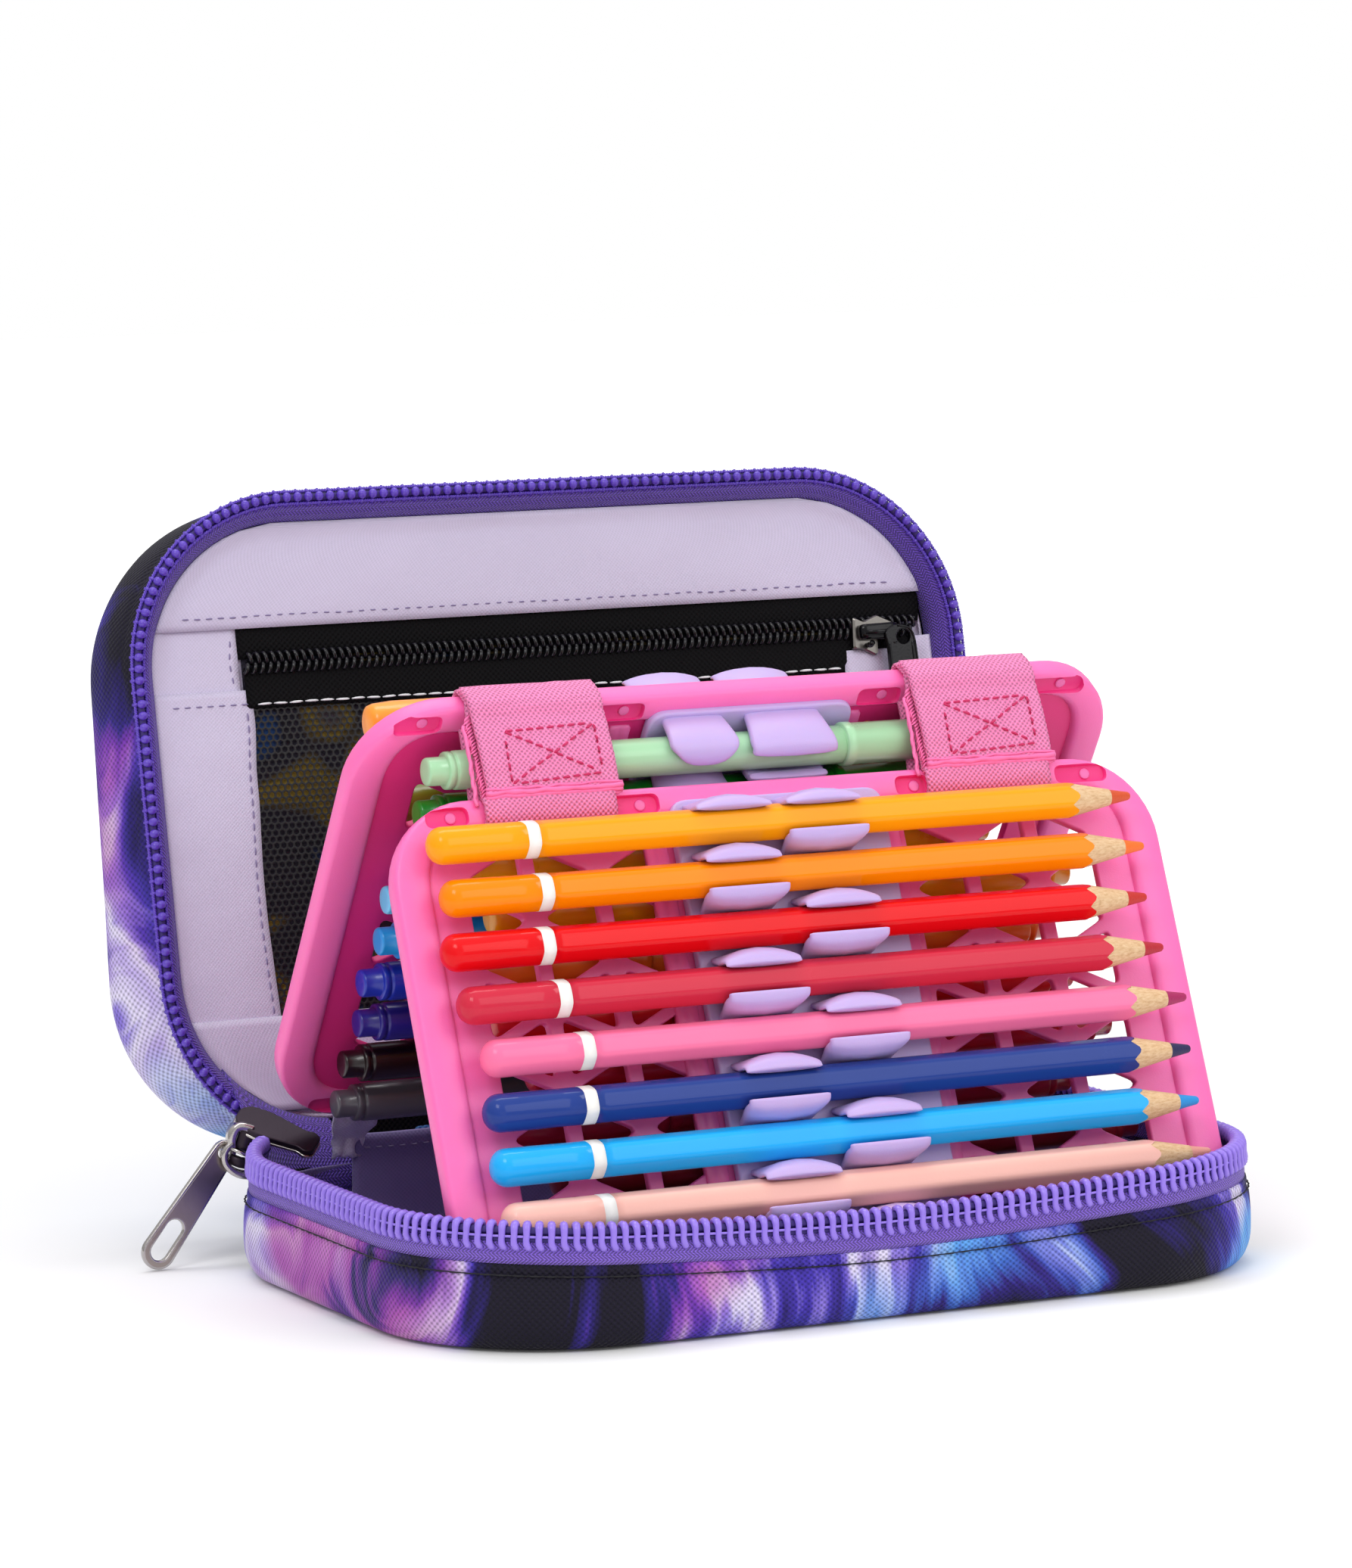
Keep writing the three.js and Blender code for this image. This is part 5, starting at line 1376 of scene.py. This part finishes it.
def buildStrap(side, centre):
    length, width, half = page["length"], strap["width"], strap["cloth"] / 2
    edge, behind, high = page["high"] + strap["slack"] + half, page["low"] - strap["slack"] - half, length + strap["slack"] + half
    slot = length - page["slotDrop"] - 1.2
    stops = [("front", slot, edge - 1.0), ("front", slot + 1.5, edge), ("front", length - 1, edge + 0.1),
             ("front", high, edge - 1.4), ("rear", high - 2.0, edge + 0.3), ("rear", high, edge - 1.5),
             ("rear", high + 0.2, -1.0), ("rear", high - 0.6, behind + 0.5), ("rear", length - 2, behind),
             ("rear", slot + 0.6, behind + 0.4), ("rear", slot, -1.0), ("rear", slot - 0.2, edge - 0.6),
             ("front", high - 3.0, behind - 0.6), ("front", slot + 0.4, behind + 0.2), ("front", slot, -1.0),
             ("front", slot, edge - 1.2)]

    def strapPiece(name, shape, finish):
        piece = makePiece(name, shape, None, finish)
        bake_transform(piece)
        return piece
    loop = curveThrough([onPage(*stop) for stop in stops], 5)
    piece = strapPiece(f"strap{side}", ribbonShape(loop, centre + strap["shift"]), "webbing")
    standFor(f"strap_{side.lower()}")
    # the sewn upper layer, from behind the rear bar down the open face
    a, b = Vector(onPage("rear", high - 1.6, edge + 0.9)), Vector(onPage("front", high + 0.2, edge - 0.9))
    ahead = (b - a).normalized()
    out = Vector((ahead.y, -ahead.x)) * (-1 if ahead.y > 0 else 1)
    face = ahead * strap["face"]
    cover = [onPage("rear", high + 1.3, -2.6), onPage("rear", high + 1.5, 0.6), onPage("rear", high + 0.6, edge + 0.6)]
    cover += [tuple(a + face * t + out * (1.15 + 0.5 * sin(pi * t))) for t in (0.06, 0.25, 0.5, 0.75, 0.97)]
    line = curveThrough(cover, 6)

    def middle(share):
        # the upper layer leans a little to the right on its way down
        return centre + strap["lean"][0] + strap["lean"][1] * share
    columns, rows = strap["coverColumns"], []
    for k, (y, z) in enumerate(line):
        wide = width / 2 * (1 + 0.012 * waver(k * 3.0, side == "Left", 0, 5))
        rows.append([(middle(k / len(line)) + wide * share, y + 0.12 * waver(k, share * 9, 3, 2),
                      z + 0.12 * waver(share * 9, k, 1, 2))
                     for share in [c * 2 / columns - 1 for c in range(columns + 1)]])
    strapPiece(f"strapCover{side}", clothShape(rows, strap["cloth"]), "webbing")
    # its turned and frayed end, loose threads along the near side and three frayed cords there
    tip, fray = Vector(line[-1]), newShape()
    for row, (drop, rise, size) in enumerate(frayRows):
        path, sizes = [], []
        for c in range(columns + 1):
            spot = tip + ahead * (drop + 0.45 * waver(c * 2.1, row * 7, 0, 6)) + out * (rise + 0.25 * waver(c * 1.7, row, 5, 3))
            path.append((middle(1) + (width + 1.2) * (c / columns - 0.5), *spot))
            sizes.append(size * (0.8 + 0.35 * waver(c, row, 2, 3)))
        addTube(fray, path, sizes)
    for k in range(strap["threads"]):
        t = k / (strap["threads"] - 1)
        root, x = a + face * t + out * 0.3, middle(t) - width / 2 - 0.1
        reach = 1.3 + 1.1 * waver(k * 3.3, 1, 4, 2)
        loose = root + ahead * (1.6 + waver(k, 3, 3, 2)) + out * 0.8 * waver(k, 7, 2, 1.5)
        addTube(fray, [(x + 0.9, *root), (x - 0.4, *(root + ahead * 0.8 + out * 0.3)), (x - reach * 0.7, *loose)],
                [0.3, 0.26, 0.16], 5)
    for row in range(3):
        path = []
        for k in range(25):
            x = centre + 0.4 - width / 2 - 0.35 * row + 0.4 * waver(k * 1.4, row * 5, 8, 3)
            path.append((x, *(a + face * (0.12 + 0.98 * k / 24) + out * (-0.4 + 0.5 * row + 0.3 * waver(k, row, 6, 3)))))
        addTube(fray, path, 0.42)
    strapPiece(f"strapFray{side}", fray, "threadPink")
    # a sewn box with a cross in it
    seam = newShape()
    for m, (i, j) in enumerate(((0, 1), (1, 2), (2, 3), (3, 0), (0, 2), (3, 1))):
        path = []
        for k in range(9):
            u, v = (p + (q - p) * k / 8 + size * waver(k * 2.0, m * 9, seed, 2)
                    for p, q, size, seed in zip(strap["box"][i], strap["box"][j], (0.006, 0.01), (1, 8)))
            path.append((middle(v) + width * (u - 0.5), *(a + face * v + out * (1.2 + 0.5 * sin(pi * v) + half + 0.1))))
        addStitches(seam, path, [(0, *out)] * 9, 2.1, 0.45, 0.3, 0.35)
    strapPiece(f"strapStitching{side}", seam, "threadRose")


for side, centre in zip(("Left", "Right"), page["strapX"]):
    buildStrap(side, centre)
print("straps ready")

# main slider and its puller

slider = {"turn": 15.0, "dip": 15.7, "length": 20.0, "width": 9.6, "lift": 0.9, "bar": Vector((-8.6, 0, -7.9)),
          "plateTurns": (-34, 22, 26), "plateShift": (2.2, 0, -0.4)}
puller = {"reach": 31.5, "head": 4.1, "headX": 27.4, "opening": (21.0, 27.2), "rest": 0.3}
shieldShares = [(-0.5, 0.2), (-0.5, -0.2), (-0.4, -0.44), (-0.15, -0.5), (0.2, -0.38), (0.32, -0.34), (0.4, -0.42), (0.5, -0.3),
                (0.5, 0.3), (0.4, 0.42), (0.32, 0.34), (0.2, 0.38), (-0.15, 0.5), (-0.4, 0.44)]
# piece: (radii of head, foot, opening and eye, half thickness, edge, finish, solid)
pullerPlates = {"pullerPlate": ((4.1, 2.9, 2.2, 1.6), 0.75, 0.3, "nickel", "zip_puller"),
                "pullerFace": ((3.55, 2.35, 2.65, 1.75), 0.81, 0.08, "gunmetal", None)}


def turned(angle, axis):
    return Matrix.Rotation(radians(angle), 4, axis)


def addBand(shape, path, low, high, thickness):
    # a flat bar with rounded edges, bent in the x-z plane between two y values
    t, corners = thickness / 2, ((1, low + 0.3), (1, high - 0.3), (0.6, high), (-0.6, high), (-1, high - 0.3),
                                 (-1, low + 0.3), (-0.6, low), (0.6, low))
    rings = []
    for k, (x, z) in enumerate(path):
        ahead = heading(path, k)
        rings.append([(x - ahead.y * t * a, y, z + ahead.x * t * a) for a, y in corners])
    addClosed(shape, rings)


def arc(radius, x, start, stop, steps):
    angles = [radians(start + (stop - start) * k / steps) for k in range(steps + 1)]
    return [(x + radius * cos(a), radius * sin(a)) for a in angles]


x, y, nx, ny, s = trayRun[0]
sliderSpot = Matrix.Translation((x + nx * coilOut, y + ny * coilOut, trayTapeTop(x, y) + 2 * mainZip["radius"] + slider["lift"]))
sliderFrame = sliderSpot @ turned(-slider["turn"], "Z") @ turned(slider["dip"], "Y")
plateFrame = sliderSpot
for angle, axis in zip(slider["plateTurns"], "ZYX"):
    plateFrame = plateFrame @ turned(angle, axis)
plateFrame = plateFrame @ Matrix.Translation(slider["plateShift"])
shield = roundedCorners([(a * slider["length"], b * slider["width"]) for a, b in shieldShares], 1.5, 4)
cutPlate("sliderPlate", shield, [], 0.0, 1.4, 0.35, "main_zip_slider", "darkPlate", plateFrame, "zip_slider")
cutPlate("sliderRim", [(x * 1.03, y * 1.05) for x, y in shield], [], -0.75, 0.05, 0.3, "main_zip_slider", "nickel", plateFrame)
bridge, throat = newShape(), newShape()
addBand(bridge, curveThrough([(-3.5, -0.9), (-6.0, -0.8), (-7.5, -1.6), (-7.9, -3.6), (-7.4, -6.2)], 4), -2.8, 2.8, 1.9)
hook = [(-7.2, -5.0), (-8.3, -6.4), (-8.6, -8.2), (-7.8, -10.2), (-5.8, -11.5), (-3.2, -11.9), (-0.6, -11.3)]
for side in (-2.2, 2.2):
    addBand(bridge, curveThrough(hook, 4), side - 0.6, side + 0.6, 1.5)
addTube(bridge, [slider["bar"] + Vector((0, y, 0)) for y in (-2.4, 0, 2.4)], 0.9, 12)
addBand(bridge, [(-7.4, -6.3), (-5.0, -6.8), (-2.0, -7.3)], -2.8, 2.8, 0.9)
makePiece("sliderBridge", bridge, "main_zip_slider", "nickel", sliderFrame)
addBand(throat, [(-6.4, -3.4), (-4.6, -3.5), (-2.8, -3.6)], -2.3, 2.3, 5.2)
addBand(throat, [(-7.0, -8.9), (-4.4, -9.3), (-1.4, -9.1)], -1.4, 1.4, 2.4)
makePiece("sliderThroat", throat, "main_zip_slider", "darkPlate", sliderFrame)

# the puller hangs from the bar and its head rests on the table
pivot = sliderFrame @ slider["bar"]
fall = asin((pivot.z - puller["head"] - puller["rest"]) / (puller["reach"] - puller["head"]))
pullerFrame = Matrix.Translation(pivot) @ Matrix.Rotation(pi - fall, 4, "Y") @ Matrix.Rotation(pi / 2, 4, "X")
for name, ((head, foot, opening, eye), half, edge, finish, node) in pullerPlates.items():
    outline = arc(head, puller["headX"], -90, 90, 16) + arc(foot, 0, 90, 270, 12)
    ringHole = arc(opening, puller["opening"][1], -90, 90, 10) + arc(opening, puller["opening"][0], 90, 270, 10)
    cutPlate(name, outline, [arc(eye, 0, 0, 337.5, 15), ringHole], -half, half, edge, "main_zip_puller", finish, pullerFrame,
             node)

# pocket slider and puller

star = {"x": 88.5, "y": pocket["coil"] - 1.7, "z": pocket["face"] + 3.8, "pull": (93.5, pocket["coil"] - 3.2),
        "pullZ": (2.1, 3.5)}
starPoints = [(-6.8, -3.6), (-6.2, 4.2), (-3.6, 3.0), (0.4, 4.6), (4.8, 2.6), (6.4, 1.2), (6.4, -0.2), (0.0, -0.5), (-0.2, -5.0),
              (-0.8, -5.6), (-3.8, -4.0)]
pullPoints = [(-4.6, 1.6), (-1.0, 3.4), (2.6, 2.6), (4.1, -1.5), (4.3, -24.0), (-3.9, -24.0), (-3.8, -2.0)]
pullRims = ([(-3.4, -1.5), (-3.45, -8), (-3.5, -16), (-3.5, -23.2)],
            [(-0.8, 2.8), (2.0, 2.2), (3.3, 0.2), (3.75, -3.5), (3.85, -12), (3.9, -23.2)],
            [(2.9, -1.4), (2.9, -8), (3.0, -16), (3.0, -23.2)])


def addLevels(shape, outline, x, y, levels):
    # a low solid over an outline, from (share, height) levels
    addClosed(shape, [[(x + a * share, y + b * share, star["z"] + up) for a, b in outline] for share, up in levels])


body, crown, rims = newShape(), newShape(), newShape()
addLevels(body, roundedCorners(starPoints, 0.5, 2), star["x"], star["y"], ((1.0, -2.0), (1.0, -0.1), (0.93, 0.25)))
makePiece("pocketSliderBody", body, "pocket_zip_slider", "starMetal", lidFrame, "pocket_slider", smooth=False)
crownOutline = roundedCorners([(-5.4, -1.7), (4.6, -2.1), (4.6, 2.2), (-5.4, 2.0)], 1.2, 4)
addLevels(crown, crownOutline, star["x"], star["y"] + 0.2, ((1.0, -0.3), (1.0, 1.8), (0.93, 2.5), (0.7, 2.8)))
strip = [(star["x"] + along, star["z"] + up) for along, up in ((-4.4, 2.6), (0, 3.0), (4.2, 2.6))]
addBand(crown, strip, star["y"] - 0.4, star["y"] + 0.6, 0.5)
for side in (-1, 1):
    prong = [(star["x"] + side * out, pocket["coil"] - drop, star["z"] + up)
             for out, drop, up in ((2.9, 4.6, 0.8), (3.1, 4.8, 2.2), (3.1, 4.2, 3.4))]
    addTube(crown, curveThrough(prong, 3), 0.7, 8)
makePiece("pocketSliderCrown", crown, "pocket_zip_slider", "blackMetal", lidFrame)
pullFrame = lidFrame @ Matrix.Translation((*star["pull"], 0))
pullLow, pullHigh = (star["z"] + up for up in star["pullZ"])
cutPlate("pocketPull", roundedCorners(pullPoints, 2.0, 5), [arc(1.9, 0.6, 0, 337.5, 15)], pullLow, pullHigh, 0.3,
         "pocket_zip_puller", "blackMetal", pullFrame, "pocket_puller")
for points in pullRims:
    addTube(rims, curveThrough([(x, y, pullHigh) for x, y in points], 4), 0.32)
makePiece("pocketPullRims", rims, "pocket_zip_puller", "blackMetal", pullFrame)
print("sliders ready")

# fabric spine between tray and lid

spine = {"low": 15.5, "rise": 15.0, "y": 75.6, "lean": 2.2, "half": 62, "thick": 1.1, "rows": 14, "columns": 40}
shape, rings = newShape(), []
for row in range(spine["rows"] + 1):
    t = row / spine["rows"]
    z, y = spine["low"] + spine["rise"] * t, spine["y"] + 0.9 * sin(pi * t) + spine["lean"] * t
    spots = [(out * (2 * c / spine["columns"] - 1) * spine["half"], out) for out in (1, -1) for c in range(spine["columns"] + 1)]
    rings.append([(x, y + spine["thick"] * out + 0.15 * waver(x, z, 0, 7), z) for x, out in spots])
addClosed(shape, rings)
piece = makePiece("spineFabric", shape, None, ["print", "blackCloth"])
# faces turned toward the tray take the black cloth: painted shade on the spine's lining
for face in piece.data.polygons:
    face.material_index = 1 if face.normal.y < -0.5 else 0
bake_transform(piece)
standFor("spine_hinge")

# the zip's tape goes on round both back corners, from the tray up to the lid

backTape = {"tray": (146, 92), "lid": (218, 268), "foot": 13.5, "inset": 3.2, "lidInset": 6.2, "lidDepth": -6.0,
            "belly": 3.4, "crease": 0.45, "points": 34, "rows": 12, "cloth": 0.9}
low = roundedLoop(case["width"], case["depth"], case["radius"], backTape["points"], *backTape["tray"][::-1])[::-1]
high = roundedLoop(lid["width"], lid["length"], lid["radius"], backTape["points"], *backTape["lid"])
for side, mirror in (("Left", 1), ("Right", -1)):
    rows = []
    for r in range(backTape["rows"] + 1):
        t, row = r / backTape["rows"], []
        for (x0, y0, ax, ay, s0), (x1, y1, bx, by, s1) in zip(low, high):
            foot = Vector((x0 - ax * backTape["inset"], y0 - ay * backTape["inset"], backTape["foot"]))
            head = lidMiddle @ Vector((x1 - bx * backTape["lidInset"], y1 - by * backTape["lidInset"], backTape["lidDepth"]))
            crease = backTape["crease"] * sin(s0 * 1.7 + 5 * t) * smoothStep(t * 2 - 0.7) * smoothStep((1 - t) * 6)
            spot = foot.lerp(head, t) + Vector((-ax, -ay, 0)) * (backTape["belly"] * sin(pi * t) ** 0.8 + crease)
            row.append((spot.x * mirror, spot.y, spot.z))
        rows.append(row)
    # the back tape in the shaded copy of the zip tape, as painted shade
    piece = makePiece(f"backTape{side}", clothShape(rows, backTape["cloth"]), None, "tapeDark")
    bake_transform(piece)

# the tray lining's hem, standing along the back

hem = {"half": 70.0, "foot": 2.6, "top": 27.0, "y": 65.5, "rows": 14, "columns": 70, "cloth": 0.7, "turned": 1.5}


def hemThickness(row):
    return hem["turned"] if row > 11 else hem["cloth"]


rows = []
for r in range(hem["rows"] + 1):
    t, row = r / hem["rows"], []
    for c in range(hem["columns"] + 1):
        x = hem["half"] * (2 * c / hem["columns"] - 1)
        y = hem["y"] + 2.5 * (1 - t) + 1.2 * waver(x, t * 20, 2, 30) - 0.9 * sin(pi * t)
        row.append((x, y, hem["foot"] + (hem["top"] - hem["foot"]) * t + 0.7 * t * waver(x, 0, 5, 22)))
    rows.append(row)
# the hem in the darker satin copy, as painted shade
piece = makePiece("liningHem", clothShape(rows, hemThickness), "tray", "satinDim")
seam = newShape()
path = [(x, hem["y"] - 0.9 + 1.2 * waver(x, 17, 2, 30), hem["top"] - 3.2 + 0.6 * waver(x, 0, 5, 22)) for x in range(-68, 69, 2)]
addStitches(seam, path, [(0, -1, 0)] * len(path), 1.7, 1.3, 0.22)
makePiece("hemStitching", seam, "tray", "threadLilac")

# two tabs from the hem to the rear page

tab = {"x": 72.0, "shift": -0.8, "half": 5.4, "narrowing": 1.6, "cloth": 0.7, "columns": 12,
       "line": [(59.0, 31.2), (61.4, 29.2), (63.2, 27.0), (64.6, 24.4), (65.2, 22.0)]}
line = curveThrough([onPage("rear", 2.4, -4.2), onPage("rear", -0.4, -2.2), *tab["line"]], 4)
for side, mirror in (("Left", -1), ("Right", 1)):
    rows = []
    for k, (y, z) in enumerate(line):
        t, row = k / (len(line) - 1), []
        half = tab["half"] - tab["narrowing"] * smoothStep(t * 1.8 - 0.6)
        for c in range(tab["columns"] + 1):
            u = 2 * c / tab["columns"] - 1
            curl = (1.5 * waver(u * 4, k * 0.5, 3, 2) + 0.8 * abs(u) ** 1.5) * (0.3 + t)
            row.append((mirror * (tab["x"] + tab["shift"] * t) + half * u, y + curl, z + 0.9 * waver(u * 5, k * 0.6, 9, 2) * t))
        rows.append(row)
    piece = makePiece(f"pageTab{side}", clothShape(rows, tab["cloth"]), None, "satin")
    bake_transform(piece)
    standFor(f"page_tab_{side.lower()}")
print("spine and tabs ready")
